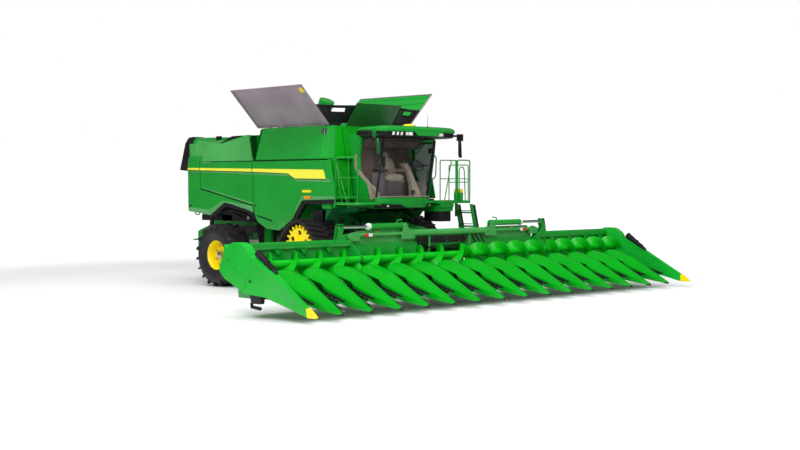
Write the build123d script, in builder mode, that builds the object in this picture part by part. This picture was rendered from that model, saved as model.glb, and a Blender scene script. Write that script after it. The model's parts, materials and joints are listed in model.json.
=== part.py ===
from build123d import *
import math
import os

# A tracked combine harvester with a folding sixteen-row corn header.
# Millimetres. +X is the machine's left side, -Y is forward, +Z is up, the ground is z = 0.

os.makedirs("parts", exist_ok=True)

SIDES = (("left", 1), ("right", -1))
RUNNING_GAP = 15  # between pieces that move past each other
SEAT_GAP = 0.3  # between pieces that rest on each other but stay separate

# ---------------------------------------------------------------- driving sizes
# Whole machine
DIVIDER_TIP_Y = -7570
SPOUT_LIP_Y = 7570
BODY_HALF_WIDTH = 1670
BODY_REAR_Y = 2690
SHOULDER_Z = 3120  # where the side doors meet the tank and the hood
PANEL_THICKNESS = 45

# Corn header
ROW_PITCH = 762
ROWS = 16
SNOUT_TIP_Y = -7430
SNOUT_TIP_Z = 180
KNEE_Y = -6340
WING_SPLIT_X = 3040
HEADER_END_X = 5905
DIVIDER_OUT_X = 6115
BEAM_Y = -5110
BEAM_Z = 1360
BEAM_SIZE = 150
AUGER_Y = -5440
AUGER_Z = 985
AUGER_TUBE_R = 80
FLIGHT_R = 250
FLIGHT_PITCH = 640
FLIGHT_THICKNESS = 19
TROUGH_GAP = 45  # between the flights and the trough under them

# Folding of the header's wings
FOLD_PIVOT_Z = 1450
FOLD_PIN_R = 25
FOLD_KNUCKLE_R = 45
PIN_FIT = 0.05  # radial clearance of a pin in its bore
ROD_FIT = 0.1  # radial clearance of a cylinder's rod in its barrel
FOLD_BARREL_R = 62
FOLD_ROD_R = 34
FOLD_CYLINDER_Y = -5120
FOLD_CYLINDER_Z = 1650
FOLD_BASE_X = 1460
FOLD_GLAND_X = 2490
FOLD_EYE_X = 3300

# Feeder house
FEEDER_PIVOT_Y = -2830
FEEDER_PIVOT_Z = 1500
FEEDER_HALF_WIDTH = 640
FEEDER_MOUTH_Y = -4885
LIFT_X = 430
LIFT_BASE = (-2480, 640)
LIFT_EYE = (-4080, 700)
LIFT_BARREL_R = 52
LIFT_ROD_R = 40
LIFT_PIN_R = 28
LIFT_EYE_R = 70
LIFT_EYE_HALF = 50
LIFT_EAR_GAP = LIFT_EYE_HALF + 8
LIFT_EAR = 28

# Tracks
TRACK_IN_X = 1190
TRACK_WIDTH = 914
TRACK_THICKNESS = 95
SPROCKET_Y = -2280
SPROCKET_Z = 1180
SPROCKET_R = 440
SPROCKET_SET = 90  # how far outside the track's middle the sprocket starts
HUB_R = 110
IDLER_REACH = 980
IDLER_R = 305
ROLLER_R = 170

# Rear axle
REAR_AXLE_Y = 920
TYRE_R = 785
TYRE_WIDTH = 700
TYRE_TRACK_X = 1750
RIM_R = 355
RIM_DISC_SET = 110  # how far the rim's disc sits inside the wheel's middle
KINGPIN_X = 1160
KINGPIN_R = 45
STEER_ARM = 235

# Cab
CAB_HALF_WIDTH = 860
CAB_FRONT_Y = -3640
CAB_REAR_Y = -2880
CAB_FLOOR_Z = 2150
CAB_TOP_Z = 3620
CAB_LEAN = 240  # how far the cab's front leans forward from its floor to its roof
PILLAR = 70
GLASS = 14
DOOR_GAP = 8

# Grain tank
TANK_FRONT_Y = -2530
TANK_REAR_Y = 120
TANK_HALF_TOP = 1300
TANK_TOP_Z = 3940
TANK_WALL = 40
TANK_FLOOR_Z = SHOULDER_Z + 8
COVER_LENGTH = 1240
GUSSET_THICKNESS = 8
GUSSET_GAP = 2  # from the flap's edge to the sheet
GUSSET_LIFT = 5  # from the cover's inner face to the sheet's corners
COVER_THICKNESS = 30
COVER_OPEN = 46  # degrees above horizontal, outward
FLAP_LENGTH = 670
FLAP_HALF_WIDTH = 730
FLAP_HINGE_DROP = 20  # from the tank's rim down to the flaps' hinges
FLAP_LEAN = 36  # degrees from upright
FILL_PIVOT_Y = -330
FILL_PIVOT_Z = 3290
FILL_HEAD_Y = -960
FILL_HEAD_Z = 4600
FILL_FOOT_HALF = 130
FILL_PIN_R = 20

# Unloading auger
AUGER_PIVOT_X = 1730
AUGER_PIVOT_Y = -2380
UNLOAD_R = 190
UNLOAD_START_Z = 3640
UNLOAD_END_Z = 3770
UNLOAD_END_Y = 6880


# ---------------------------------------------------------------- shapes used many times
def block(x, y, z, mode=Mode.ADD):
    """A box from its (low, high) along each axis."""
    with Locations(((x[0] + x[1]) / 2, (y[0] + y[1]) / 2, (z[0] + z[1]) / 2)):
        Box(x[1] - x[0], y[1] - y[0], z[1] - z[0], mode=mode)


def prism(plane, outline, length, mode=Mode.ADD):
    """A straight-sided prism that stands on an outline in a plane."""
    with BuildSketch(plane) as face:
        with BuildLine():
            Polyline(*outline, close=True)
        make_face()
    extrude(face.sketch, amount=length, mode=mode)


def side_prism(outline, x, mode=Mode.ADD):
    """A prism with a (y, z) outline, between two values of x."""
    prism(Plane.YZ.offset(x[0]), outline, x[1] - x[0], mode)


def front_prism(outline, y, mode=Mode.ADD):
    """A prism with an (x, z) outline, between two values of y."""
    prism(Plane.XZ.offset(-y[1]), outline, y[1] - y[0], mode)


def flat_prism(outline, z, mode=Mode.ADD):
    """A prism with an (x, y) outline, between two values of z."""
    prism(Plane.XY.offset(z[0]), outline, z[1] - z[0], mode)


def bar(start, end, radius, mode=Mode.ADD):
    """A round bar between two points."""
    run = Vector(*end) - Vector(*start)
    with BuildSketch(Plane(origin=start, z_dir=run)) as face:
        Circle(radius)
    extrude(face.sketch, amount=run.length, mode=mode)


def rail(points, radius, bend):
    """A bent tube through some points."""
    with BuildLine() as path:
        FilletPolyline(*points, radius=bend)
    with BuildSketch(Plane(origin=path.line @ 0, z_dir=path.line % 0)) as face:
        Circle(radius)
    sweep(face.sketch, path=path.line)


def thin_triangle(a, b, c, thickness):
    """A thin three-cornered sheet."""
    plane = Plane(origin=a, x_dir=b - a, z_dir=(b - a).cross(c - a))
    corners = [plane.to_local_coords(point) for point in (a, b, c)]
    prism(plane, [(corner.X, corner.Y) for corner in corners], thickness)


def arch(x, y, width, base, top):
    """An upright section of a snout: flat below, an arc above."""
    low_left = (x - width / 2, base)
    low_right = (x + width / 2, base)
    with BuildSketch(Plane.XZ.offset(-y)) as face:
        with BuildLine():
            ThreePointArc(low_left, (x, top), low_right)
            Line(low_right, low_left)
        make_face()
    return face.sketch


def belt_outline(wheels):
    """The closed line of a belt around wheels, each (y, z, radius), in a face."""
    tangents = []
    for number, (y0, z0, r0) in enumerate(wheels):
        y1, z1, r1 = wheels[(number + 1) % len(wheels)]
        heading = math.atan2(z1 - z0, y1 - y0)
        lean = math.acos((r0 - r1) / math.hypot(y1 - y0, z1 - z0))
        out = heading - lean
        along = Vector(math.cos(out), math.sin(out))
        tangents.append((Vector(y0, z0) + along * r0, Vector(y1, z1) + along * r1))
    with BuildSketch() as face:
        with BuildLine():
            for number, (y, z, radius) in enumerate(wheels):
                arrive = tangents[number - 1][1]
                leave, land = tangents[number]
                middle = (arrive - Vector(y, z)) + (leave - Vector(y, z))
                if middle.length < radius * 0.05:
                    middle = (leave - arrive).rotate(Axis.Z, -90)
                top = Vector(y, z) + middle.normalized() * radius
                ThreePointArc(arrive, top, leave)
                Line(leave, land)
        make_face()
    return face.sketch


def span(side, inner, outer):
    """The (low, high) of x between two distances from the middle, on one side."""
    return tuple(sorted((side * inner, side * outer)))


# ---------------------------------------------------------------- chassis
RAIL_X = 700
RAIL_WIDTH = 90
RAIL_Z = (1290, 1490)
RAIL_Y = (FEEDER_PIVOT_Y - 60, 2560)
CROSS_Y = (-2440, -1150, 450, 1500, 2470)
FEEDER_SHAFT_R = 45
FEEDER_BEARING_Y = (FEEDER_PIVOT_Y - 110, FEEDER_PIVOT_Y + 110)
SEPARATOR_HALF_WIDTH = 980
SEPARATOR_FRONT_Y = -2560
SEPARATOR_REAR_Y = 2420
OUTRIGGER_Y = (-2500, -1150, -112, 1150, 2075)
OUTRIGGER_SIZE = 60

with BuildPart() as chassis_frame:
    for side in (-1, 1):
        block(span(side, RAIL_X - RAIL_WIDTH / 2, RAIL_X + RAIL_WIDTH / 2), RAIL_Y, RAIL_Z)
    for y in CROSS_Y:
        block((-RAIL_X, RAIL_X), (y - 40, y + 40), RAIL_Z)
    # Bearings of the feeder house's shaft
    for side in (-1, 1):
        bearing_x = span(side, RAIL_X - RAIL_WIDTH / 2, RAIL_X + RAIL_WIDTH / 2)
        block(bearing_x, FEEDER_BEARING_Y, (RAIL_Z[0], FEEDER_PIVOT_Z + 100))
    bar(
        (-RAIL_X - RAIL_WIDTH, FEEDER_PIVOT_Y, FEEDER_PIVOT_Z),
        (RAIL_X + RAIL_WIDTH, FEEDER_PIVOT_Y, FEEDER_PIVOT_Z),
        FEEDER_SHAFT_R + PIN_FIT,
        mode=Mode.SUBTRACT,
    )
chassis_frame.part.label = "chassis_frame"
export_step(chassis_frame.part, "parts/chassis_frame.step")

# The threshing and separating body, with its belt pulleys on both sides.
SEPARATOR_OUTLINE = (
    (SEPARATOR_FRONT_Y, RAIL_Z[1] + SEAT_GAP),
    (SEPARATOR_REAR_Y, RAIL_Z[1] + SEAT_GAP),
    (SEPARATOR_REAR_Y, TANK_FLOOR_Z - SEAT_GAP),
    (SEPARATOR_FRONT_Y, TANK_FLOOR_Z - SEAT_GAP),
)
# y, z, radius, distance out from the separator's wall
PULLEYS = (
    (-1750, 2560, 330, 230),
    (-900, 2120, 240, 180),
    (300, 2650, 260, 230),
    (1350, 2560, 200, 180),
)
with BuildPart() as separator_body:
    side_prism(SEPARATOR_OUTLINE, (-SEPARATOR_HALF_WIDTH, SEPARATOR_HALF_WIDTH))
    for y, z, radius, out in PULLEYS:
        bar((SEPARATOR_HALF_WIDTH, y, z), (SEPARATOR_HALF_WIDTH + out, y, z), 45)
        bar((SEPARATOR_HALF_WIDTH + out - 90, y, z), (SEPARATOR_HALF_WIDTH + out, y, z), radius)
    for y in OUTRIGGER_Y:
        block(
            (0, BODY_HALF_WIDTH - PANEL_THICKNESS - SEAT_GAP),
            (y - OUTRIGGER_SIZE / 2, y + OUTRIGGER_SIZE / 2),
            (SHOULDER_Z - 30 - OUTRIGGER_SIZE, SHOULDER_Z - 30),
        )
    mirror(about=Plane.YZ)
separator_body.part.label = "separator_body"
export_step(separator_body.part, "parts/separator_body.step")

# ---------------------------------------------------------------- side panels and doors
DOOR_SEAM_Y = -110
REAR_DOOR_Y = 2070
# (y, z) of the lower edge of the body's side, front to rear
FRONT_DOOR_OUTLINE = (
    (-2930, SHOULDER_Z),
    (-3160, 2200),
    (-1940, 2170),
    (-1580, 1730),
    (-1090, 1440),
    (-620, 1470),
    (-260, 1630),
    (-170, 1790),
    (DOOR_SEAM_Y - DOOR_GAP / 2, 2030),
    (DOOR_SEAM_Y - DOOR_GAP / 2, SHOULDER_Z),
)
REAR_DOOR_OUTLINE = (
    (DOOR_SEAM_Y + DOOR_GAP / 2, SHOULDER_Z),
    (DOOR_SEAM_Y + DOOR_GAP / 2, 2040),
    (REAR_DOOR_Y - DOOR_GAP / 2, 2440),
    (REAR_DOOR_Y - DOOR_GAP / 2, SHOULDER_Z),
)
# The fixed rear corner reaches under the rear door along the wheel arch.
REAR_PANEL_OUTLINE = (
    (DOOR_SEAM_Y + DOOR_GAP / 2, 2040 - DOOR_GAP),
    (DOOR_SEAM_Y + DOOR_GAP / 2, 1850),
    (40, 1900),
    (840, 2060),
    (1080, 2090),
    (1680, 1760),
    (BODY_REAR_Y, 1850),
    (BODY_REAR_Y, 3120),
    (BODY_REAR_Y - 30, 3220),
    (BODY_REAR_Y - 110, 3280),
    (REAR_DOOR_Y + DOOR_GAP / 2, 3280),
    (REAR_DOOR_Y + DOOR_GAP / 2, 2440 - DOOR_GAP),
)
for side_name, side in SIDES:
    panel_x = span(side, BODY_HALF_WIDTH - PANEL_THICKNESS, BODY_HALF_WIDTH)
    with BuildPart() as front_door:
        side_prism(FRONT_DOOR_OUTLINE, panel_x)
    front_door.part.label = f"side_door_front_{side_name}"
    export_step(front_door.part, f"parts/side_door_front_{side_name}.step")
    with BuildPart() as rear_door:
        side_prism(REAR_DOOR_OUTLINE, panel_x)
    rear_door.part.label = f"side_door_rear_{side_name}"
    export_step(rear_door.part, f"parts/side_door_rear_{side_name}.step")

TAIL_X = BODY_HALF_WIDTH - PANEL_THICKNESS
with BuildPart() as rear_side_panels:
    side_prism(REAR_PANEL_OUTLINE, (TAIL_X, BODY_HALF_WIDTH))
    for y in (150, 2200):
        block((SEPARATOR_HALF_WIDTH + SEAT_GAP, TAIL_X), (y - 30, y + 30), (1960, 2020))
    mirror(about=Plane.YZ)
    # The tail closes the body behind the separator.
    block((-BODY_HALF_WIDTH, BODY_HALF_WIDTH), (BODY_REAR_Y - PANEL_THICKNESS, BODY_REAR_Y), (2150, 3100))
rear_side_panels.part.label = "rear_side_panels"
export_step(rear_side_panels.part, "parts/rear_side_panels.step")

# Dark trims along the wheel arches, inside the panels.
ARCH_TRIM_X = (TAIL_X - 60, TAIL_X - SEAT_GAP)
REAR_ARCH_TRIM = (
    (40, 1900),
    (840, 2060),
    (1080, 2090),
    (1680, 1760),
    (1640, 1640),
    (1060, 1960),
    (860, 1935),
    (60, 1770),
    (-110, 1700),
    (-110, 1850),
)
with BuildPart() as arch_trims:
    side_prism(REAR_ARCH_TRIM, ARCH_TRIM_X)
    for y in (150, 1640):
        block((SEPARATOR_HALF_WIDTH + SEAT_GAP, ARCH_TRIM_X[1]), (y - 25, y + 25), (1800, 1850))
    mirror(about=Plane.YZ)
arch_trims.part.label = "arch_trims"
export_step(arch_trims.part, "parts/arch_trims.step")

# ---------------------------------------------------------------- rear hood and engine
HOOD_HALF_TOP = 1350
HOOD_HALF_FOOT = BODY_HALF_WIDTH - PANEL_THICKNESS - DOOR_GAP
HOOD_FRONT_Y = 470
HOOD_OUTLINE = (
    (TANK_REAR_Y + 30, SHOULDER_Z + DOOR_GAP),
    (REAR_DOOR_Y, SHOULDER_Z + DOOR_GAP),
    (BODY_REAR_Y - 70, SHOULDER_Z + DOOR_GAP),
    (BODY_REAR_Y - 70, 3670),
    (1470, 3560),
    (1150, 3560),
    (HOOD_FRONT_Y, 3790),
    (TANK_REAR_Y + 330, 3790),
    (TANK_REAR_Y + 230, 3250),
    (TANK_REAR_Y + 30, 3250),
)
HOOD_WALL = 40
with BuildPart() as rear_hood:
    side_prism(HOOD_OUTLINE, (-HOOD_HALF_FOOT, HOOD_HALF_FOOT))
    for side in (-1, 1):
        front_prism(
            (
                (side * (BODY_HALF_WIDTH + 1), SHOULDER_Z + 40),
                (side * (BODY_HALF_WIDTH + 1), 3900),
                (side * HOOD_HALF_TOP, 3900),
                (side * HOOD_HALF_TOP, 3760),
                (side * HOOD_HALF_FOOT, SHOULDER_Z + 40),
            ),
            (TANK_REAR_Y, BODY_REAR_Y),
            mode=Mode.SUBTRACT,
        )
    block((-1250, 1250), (TANK_REAR_Y + 380, BODY_REAR_Y - 140), (SHOULDER_Z, 3500), mode=Mode.SUBTRACT)
rear_hood.part.label = "rear_hood"
export_step(rear_hood.part, "parts/rear_hood.step")

with BuildPart() as engine_block:
    block((-520, 520), (850, 2050), (TANK_FLOOR_Z, 3450))
engine_block.part.label = "engine_block"
export_step(engine_block.part, "parts/engine_block.step")

# ---------------------------------------------------------------- grain tank
TANK_FRONT_FOOT_Y = -2800
TANK_RIM_Z = TANK_TOP_Z - 15


def tank_solid(inset, floor, mode=Mode.ADD):
    """The tank's outer shape, drawn in by an inset and standing on a floor."""
    with BuildSketch(Plane.XY.offset(floor)) as foot:
        with BuildLine():
            Polyline(
                (-BODY_HALF_WIDTH + inset, TANK_FRONT_FOOT_Y + inset),
                (BODY_HALF_WIDTH - inset, TANK_FRONT_FOOT_Y + inset),
                (BODY_HALF_WIDTH - inset, TANK_REAR_Y - inset),
                (-BODY_HALF_WIDTH + inset, TANK_REAR_Y - inset),
                close=True,
            )
        make_face()
    with BuildSketch(Plane.XY.offset(TANK_RIM_Z)) as rim:
        with BuildLine():
            Polyline(
                (-TANK_HALF_TOP + inset, TANK_FRONT_Y + inset),
                (TANK_HALF_TOP - inset, TANK_FRONT_Y + inset),
                (TANK_HALF_TOP - inset, TANK_REAR_Y - inset),
                (-TANK_HALF_TOP + inset, TANK_REAR_Y - inset),
                close=True,
            )
        make_face()
    loft([foot.sketch, rim.sketch], mode=mode)


# The unloading auger's turret stands in a round pocket of the tank's front left corner.
TURRET_R = 205
POCKET_R = TURRET_R + 50
POCKET_FOOT = (AUGER_PIVOT_X, AUGER_PIVOT_Y, TANK_FLOOR_Z)
POCKET_TOP = (AUGER_PIVOT_X, AUGER_PIVOT_Y, TANK_TOP_Z)
with BuildPart() as tank_space:
    tank_solid(TANK_WALL, TANK_FLOOR_Z + TANK_WALL)
    bar(POCKET_FOOT, POCKET_TOP, POCKET_R + TANK_WALL, mode=Mode.SUBTRACT)

with BuildPart() as grain_tank:
    tank_solid(0, TANK_FLOOR_Z)
    bar(POCKET_FOOT, POCKET_TOP, POCKET_R, mode=Mode.SUBTRACT)
    add(tank_space.part, mode=Mode.SUBTRACT)
    # Ears and the pin that carry the fill auger
    ear_end = FILL_FOOT_HALF + 30
    for side in (-1, 1):
        block(
            span(side, FILL_FOOT_HALF + 5, ear_end),
            (FILL_PIVOT_Y - 60, FILL_PIVOT_Y + 60),
            (TANK_FLOOR_Z + TANK_WALL, FILL_PIVOT_Z + 50),
        )
    bar((-ear_end, FILL_PIVOT_Y, FILL_PIVOT_Z), (ear_end, FILL_PIVOT_Y, FILL_PIVOT_Z), FILL_PIN_R)
grain_tank.part.label = "grain_tank"
export_step(grain_tank.part, "parts/grain_tank.step")

HINGE_TUBE_R = 14.7
COVER_HINGE_X = TANK_HALF_TOP - 15
COVER_HINGE_Z = TANK_RIM_Z + HINGE_TUBE_R + SEAT_GAP
cover_rise = math.radians(COVER_OPEN)
COVER_ALONG = (math.cos(cover_rise), math.sin(cover_rise))
for side_name, side in SIDES:
    with BuildPart() as tank_cover:
        root, tip = [
            (side * (COVER_HINGE_X + out * COVER_ALONG[0]), COVER_HINGE_Z + out * COVER_ALONG[1])
            for out in (12, COVER_LENGTH)
        ]
        lift = (side * COVER_THICKNESS * COVER_ALONG[1], -COVER_THICKNESS * COVER_ALONG[0])
        front_prism(
            (root, tip, (tip[0] + lift[0], tip[1] + lift[1]), (root[0] + lift[0], root[1] + lift[1])),
            (TANK_FRONT_Y, TANK_REAR_Y),
        )
        bar(
            (side * COVER_HINGE_X, TANK_FRONT_Y, COVER_HINGE_Z),
            (side * COVER_HINGE_X, TANK_REAR_Y, COVER_HINGE_Z),
            HINGE_TUBE_R,
        )
    tank_cover.part.label = f"tank_cover_{side_name}"
    export_step(tank_cover.part, f"parts/tank_cover_{side_name}.step")

FLAP_TUBE_R = 21
FLAP_THICKNESS = 20
FLAP_HINGE_Z = TANK_RIM_Z - FLAP_HINGE_DROP
front_slope = (TANK_FRONT_Y - TANK_FRONT_FOOT_Y) / (TANK_RIM_Z - TANK_FLOOR_Z - TANK_WALL)
flap_lean = math.radians(FLAP_LEAN)
flap_offset = (FLAP_TUBE_R + SEAT_GAP) * math.hypot(1, front_slope)
front_inset = TANK_WALL - front_slope * FLAP_HINGE_DROP + flap_offset
FLAPS = (
    ("front", TANK_FRONT_Y + front_inset, -1),
    ("rear", TANK_REAR_Y - TANK_WALL - FLAP_TUBE_R - SEAT_GAP, 1),
)
for flap_name, hinge_y, toward in FLAPS:
    with BuildPart() as tank_flap:
        along = (toward * math.sin(flap_lean), math.cos(flap_lean))
        across = (-along[1] * toward * FLAP_THICKNESS, along[0] * toward * FLAP_THICKNESS)
        high = (hinge_y + FLAP_LENGTH * along[0], FLAP_HINGE_Z + FLAP_LENGTH * along[1])
        side_prism(
            (
                (hinge_y, FLAP_HINGE_Z),
                high,
                (high[0] + across[0], high[1] + across[1]),
                (hinge_y + across[0], FLAP_HINGE_Z + across[1]),
            ),
            (-FLAP_HALF_WIDTH, FLAP_HALF_WIDTH),
        )
        bar(
            (-FLAP_HALF_WIDTH, hinge_y, FLAP_HINGE_Z),
            (FLAP_HALF_WIDTH, hinge_y, FLAP_HINGE_Z),
            FLAP_TUBE_R,
        )
    tank_flap.part.label = f"tank_flap_{flap_name}"
    export_step(tank_flap.part, f"parts/tank_flap_{flap_name}.step")

# Corner gussets of soft sheet between the flaps and the covers.
with BuildPart() as tank_gussets:
    for flap_name, hinge_y, toward in FLAPS:
        edge_x = FLAP_HALF_WIDTH + GUSSET_GAP
        flap_low = Vector(edge_x, hinge_y + toward * 40, FLAP_HINGE_Z + 90)
        reach = FLAP_LENGTH * 0.9
        flap_top = Vector(
            edge_x,
            hinge_y + toward * reach * math.sin(flap_lean),
            FLAP_HINGE_Z + reach * math.cos(flap_lean),
        )
        cover_end = TANK_FRONT_Y + 12 if toward < 0 else TANK_REAR_Y - 12
        cover_edge = [
            Vector(
                COVER_HINGE_X + out * COVER_ALONG[0] - GUSSET_LIFT * COVER_ALONG[1],
                cover_end,
                COVER_HINGE_Z + out * COVER_ALONG[1] + GUSSET_LIFT * COVER_ALONG[0],
            )
            for out in (60, COVER_LENGTH * 0.5)
        ]
        thin_triangle(flap_low, cover_edge[0], cover_edge[1], GUSSET_THICKNESS)
        thin_triangle(flap_low, cover_edge[1], flap_top, GUSSET_THICKNESS)
    mirror(about=Plane.YZ)
tank_gussets.part.label = "tank_gussets"
export_step(tank_gussets.part, "parts/tank_gussets.step")

with BuildPart() as fill_auger:
    foot = Vector(0, FILL_PIVOT_Y, FILL_PIVOT_Z)
    head = Vector(0, FILL_HEAD_Y, FILL_HEAD_Z)
    run = (head - foot).normalized()
    bar(foot + run * 60, head, 125)
    bar(head - run * 140, head + run * 40, 190)
    block(
        (-FILL_FOOT_HALF, FILL_FOOT_HALF),
        (FILL_PIVOT_Y - 60, FILL_PIVOT_Y + 60),
        (FILL_PIVOT_Z - 50, FILL_PIVOT_Z + 90),
    )
    bar(
        (-FILL_FOOT_HALF, FILL_PIVOT_Y, FILL_PIVOT_Z),
        (FILL_FOOT_HALF, FILL_PIVOT_Y, FILL_PIVOT_Z),
        FILL_PIN_R + PIN_FIT,
        mode=Mode.SUBTRACT,
    )
fill_auger.part.label = "fill_auger"
export_step(fill_auger.part, "parts/fill_auger.step")

# ---------------------------------------------------------------- unloading auger
with BuildPart() as auger_turret:
    bar(
        (AUGER_PIVOT_X, AUGER_PIVOT_Y, TANK_FLOOR_Z + 10),
        (AUGER_PIVOT_X, AUGER_PIVOT_Y, UNLOAD_START_Z - 225),
        TURRET_R,
    )
    # A flange carries it on the pocket's rim.
    bar(
        (AUGER_PIVOT_X - 50, AUGER_PIVOT_Y, TANK_FLOOR_Z + 30),
        (AUGER_PIVOT_X - 50, AUGER_PIVOT_Y, TANK_FLOOR_Z + 60),
        TURRET_R - SEAT_GAP,
    )
auger_turret.part.label = "auger_turret"
export_step(auger_turret.part, "parts/auger_turret.step")

with BuildPart() as unloading_auger:
    pivot = Vector(AUGER_PIVOT_X, AUGER_PIVOT_Y, UNLOAD_START_Z)
    end = Vector(AUGER_PIVOT_X, UNLOAD_END_Y, UNLOAD_END_Z)
    bar((AUGER_PIVOT_X, AUGER_PIVOT_Y, UNLOAD_START_Z - 225 + SEAT_GAP), pivot, UNLOAD_R + 10)
    bar(pivot - Vector(0, 170, 0), pivot + Vector(0, 250, 0), UNLOAD_R + 20)
    bar(pivot, end - Vector(0, 20, 0), UNLOAD_R)
    bar(end - Vector(0, 60, 0), end, UNLOAD_R + 5)
unloading_auger.part.label = "unloading_auger"
export_step(unloading_auger.part, "parts/unloading_auger.step")

with BuildPart() as auger_spout:
    side_prism(
        (
            (UNLOAD_END_Y + SEAT_GAP, UNLOAD_END_Z + 215),
            (UNLOAD_END_Y + SEAT_GAP, UNLOAD_END_Z - 200),
            (UNLOAD_END_Y + 180, UNLOAD_END_Z - 320),
            (SPOUT_LIP_Y - 330, 2960),
            (SPOUT_LIP_Y, 2990),
            (UNLOAD_END_Y + 400, UNLOAD_END_Z + 30),
            (UNLOAD_END_Y + 220, UNLOAD_END_Z + 195),
        ),
        (AUGER_PIVOT_X - 195, AUGER_PIVOT_X + 195),
    )
auger_spout.part.label = "auger_spout"
export_step(auger_spout.part, "parts/auger_spout.step")

# ---------------------------------------------------------------- cab
REAR_WINDOW_HALF = 660
REAR_WINDOW_Z = (2650, 3450)
with BuildPart() as cab_shell:
    block((-CAB_HALF_WIDTH, CAB_HALF_WIDTH), (CAB_FRONT_Y - 50, CAB_REAR_Y), (1980, CAB_FLOOR_Z))
    block((-CAB_HALF_WIDTH, CAB_HALF_WIDTH), (CAB_REAR_Y - 60, CAB_REAR_Y), (CAB_FLOOR_Z, CAB_TOP_Z))
    block(
        (-REAR_WINDOW_HALF, REAR_WINDOW_HALF),
        (CAB_REAR_Y - 61, CAB_REAR_Y + 1),
        REAR_WINDOW_Z,
        mode=Mode.SUBTRACT,
    )
    for side in (-1, 1):
        pillar_x = span(side, CAB_HALF_WIDTH - PILLAR, CAB_HALF_WIDTH)
        side_prism(
            (
                (CAB_FRONT_Y, CAB_FLOOR_Z),
                (CAB_FRONT_Y + PILLAR, CAB_FLOOR_Z),
                (CAB_FRONT_Y + PILLAR - CAB_LEAN, CAB_TOP_Z),
                (CAB_FRONT_Y - CAB_LEAN, CAB_TOP_Z),
            ),
            pillar_x,
        )
    # The right side is closed behind its window.
    block((-CAB_HALF_WIDTH, -CAB_HALF_WIDTH + PILLAR), (-3130, CAB_REAR_Y), (CAB_FLOOR_Z, CAB_TOP_Z))
    block(
        (-RAIL_X + 60, RAIL_X - 60),
        (SEPARATOR_FRONT_Y - 330, SEPARATOR_FRONT_Y - SEAT_GAP),
        (1980, 2100),
    )
cab_shell.part.label = "cab_shell"
export_step(cab_shell.part, "parts/cab_shell.step")

WINDSCREEN_BULGE = 330
with BuildPart() as cab_glass:
    with BuildSketch(Plane.XY.offset(CAB_FLOOR_Z + SEAT_GAP)) as screen:
        with BuildLine():
            near = CAB_FRONT_Y - 2
            ThreePointArc(
                (-CAB_HALF_WIDTH, near),
                (0, near - WINDSCREEN_BULGE),
                (CAB_HALF_WIDTH, near),
            )
            Line((CAB_HALF_WIDTH, near), (CAB_HALF_WIDTH - GLASS, near))
            ThreePointArc(
                (CAB_HALF_WIDTH - GLASS, near),
                (0, near - WINDSCREEN_BULGE + GLASS),
                (-CAB_HALF_WIDTH + GLASS, near),
            )
            Line((-CAB_HALF_WIDTH + GLASS, near), (-CAB_HALF_WIDTH, near))
        make_face()
    extrude(
        screen.sketch,
        amount=math.hypot(CAB_LEAN, CAB_TOP_Z - CAB_FLOOR_Z) - 2,
        dir=(0, -CAB_LEAN, CAB_TOP_Z - CAB_FLOOR_Z),
    )
    side_prism(
        (
            (CAB_FRONT_Y + PILLAR + 1, CAB_FLOOR_Z + 1),
            (-3131, CAB_FLOOR_Z + 1),
            (-3131, CAB_TOP_Z - 1),
            (CAB_FRONT_Y + PILLAR - CAB_LEAN + 1, CAB_TOP_Z - 1),
        ),
        (-CAB_HALF_WIDTH + 20, -CAB_HALF_WIDTH + 20 + GLASS),
    )
cab_glass.part.label = "cab_glass"
export_step(cab_glass.part, "parts/cab_glass.step")

ROOF_HALF_WIDTH = 1210
with BuildPart() as cab_roof:
    flat_prism(
        (
            (-ROOF_HALF_WIDTH, -4200),
            (-ROOF_HALF_WIDTH + 150, -4330),
            (0, -4420),
            (ROOF_HALF_WIDTH - 150, -4330),
            (ROOF_HALF_WIDTH, -4200),
            (950, CAB_REAR_Y),
            (-950, CAB_REAR_Y),
        ),
        (CAB_TOP_Z + SEAT_GAP, 3890),
    )
cab_roof.part.label = "cab_roof"
export_step(cab_roof.part, "parts/cab_roof.step")

with BuildPart() as cab_interior:
    block((-260, 260), (-3420, -2990), (2620, 2740))
    block((-250, 250), (-3090, -2990), (2740, 3330))
    block((-150, 150), (-3330, -3060), (CAB_FLOOR_Z + SEAT_GAP, 2620))
    block((-500, -290), (-3480, -2990), (CAB_FLOOR_Z + SEAT_GAP, 2860))
    block((-70, 70), (-3620, -3500), (CAB_FLOOR_Z + SEAT_GAP, CAB_FLOOR_Z + 90))
    bar((0, -3560, CAB_FLOOR_Z + 60), (0, -3520, 2900), 45)
    bar((0, -3525, 2890), (0, -3500, 2920), 200)
cab_interior.part.label = "cab_interior"
export_step(cab_interior.part, "parts/cab_interior.step")

DOOR_THICKNESS = 40
with BuildPart() as cab_door:
    side_prism(
        (
            (CAB_FRONT_Y + 8, CAB_FLOOR_Z + 40),
            (CAB_REAR_Y - 40, CAB_FLOOR_Z + 40),
            (CAB_REAR_Y - 40, CAB_TOP_Z - 30),
            (CAB_FRONT_Y + 8 - CAB_LEAN, CAB_TOP_Z - 30),
        ),
        (CAB_HALF_WIDTH + SEAT_GAP, CAB_HALF_WIDTH + DOOR_THICKNESS),
    )
cab_door.part.label = "cab_door"
export_step(cab_door.part, "parts/cab_door.step")

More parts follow.
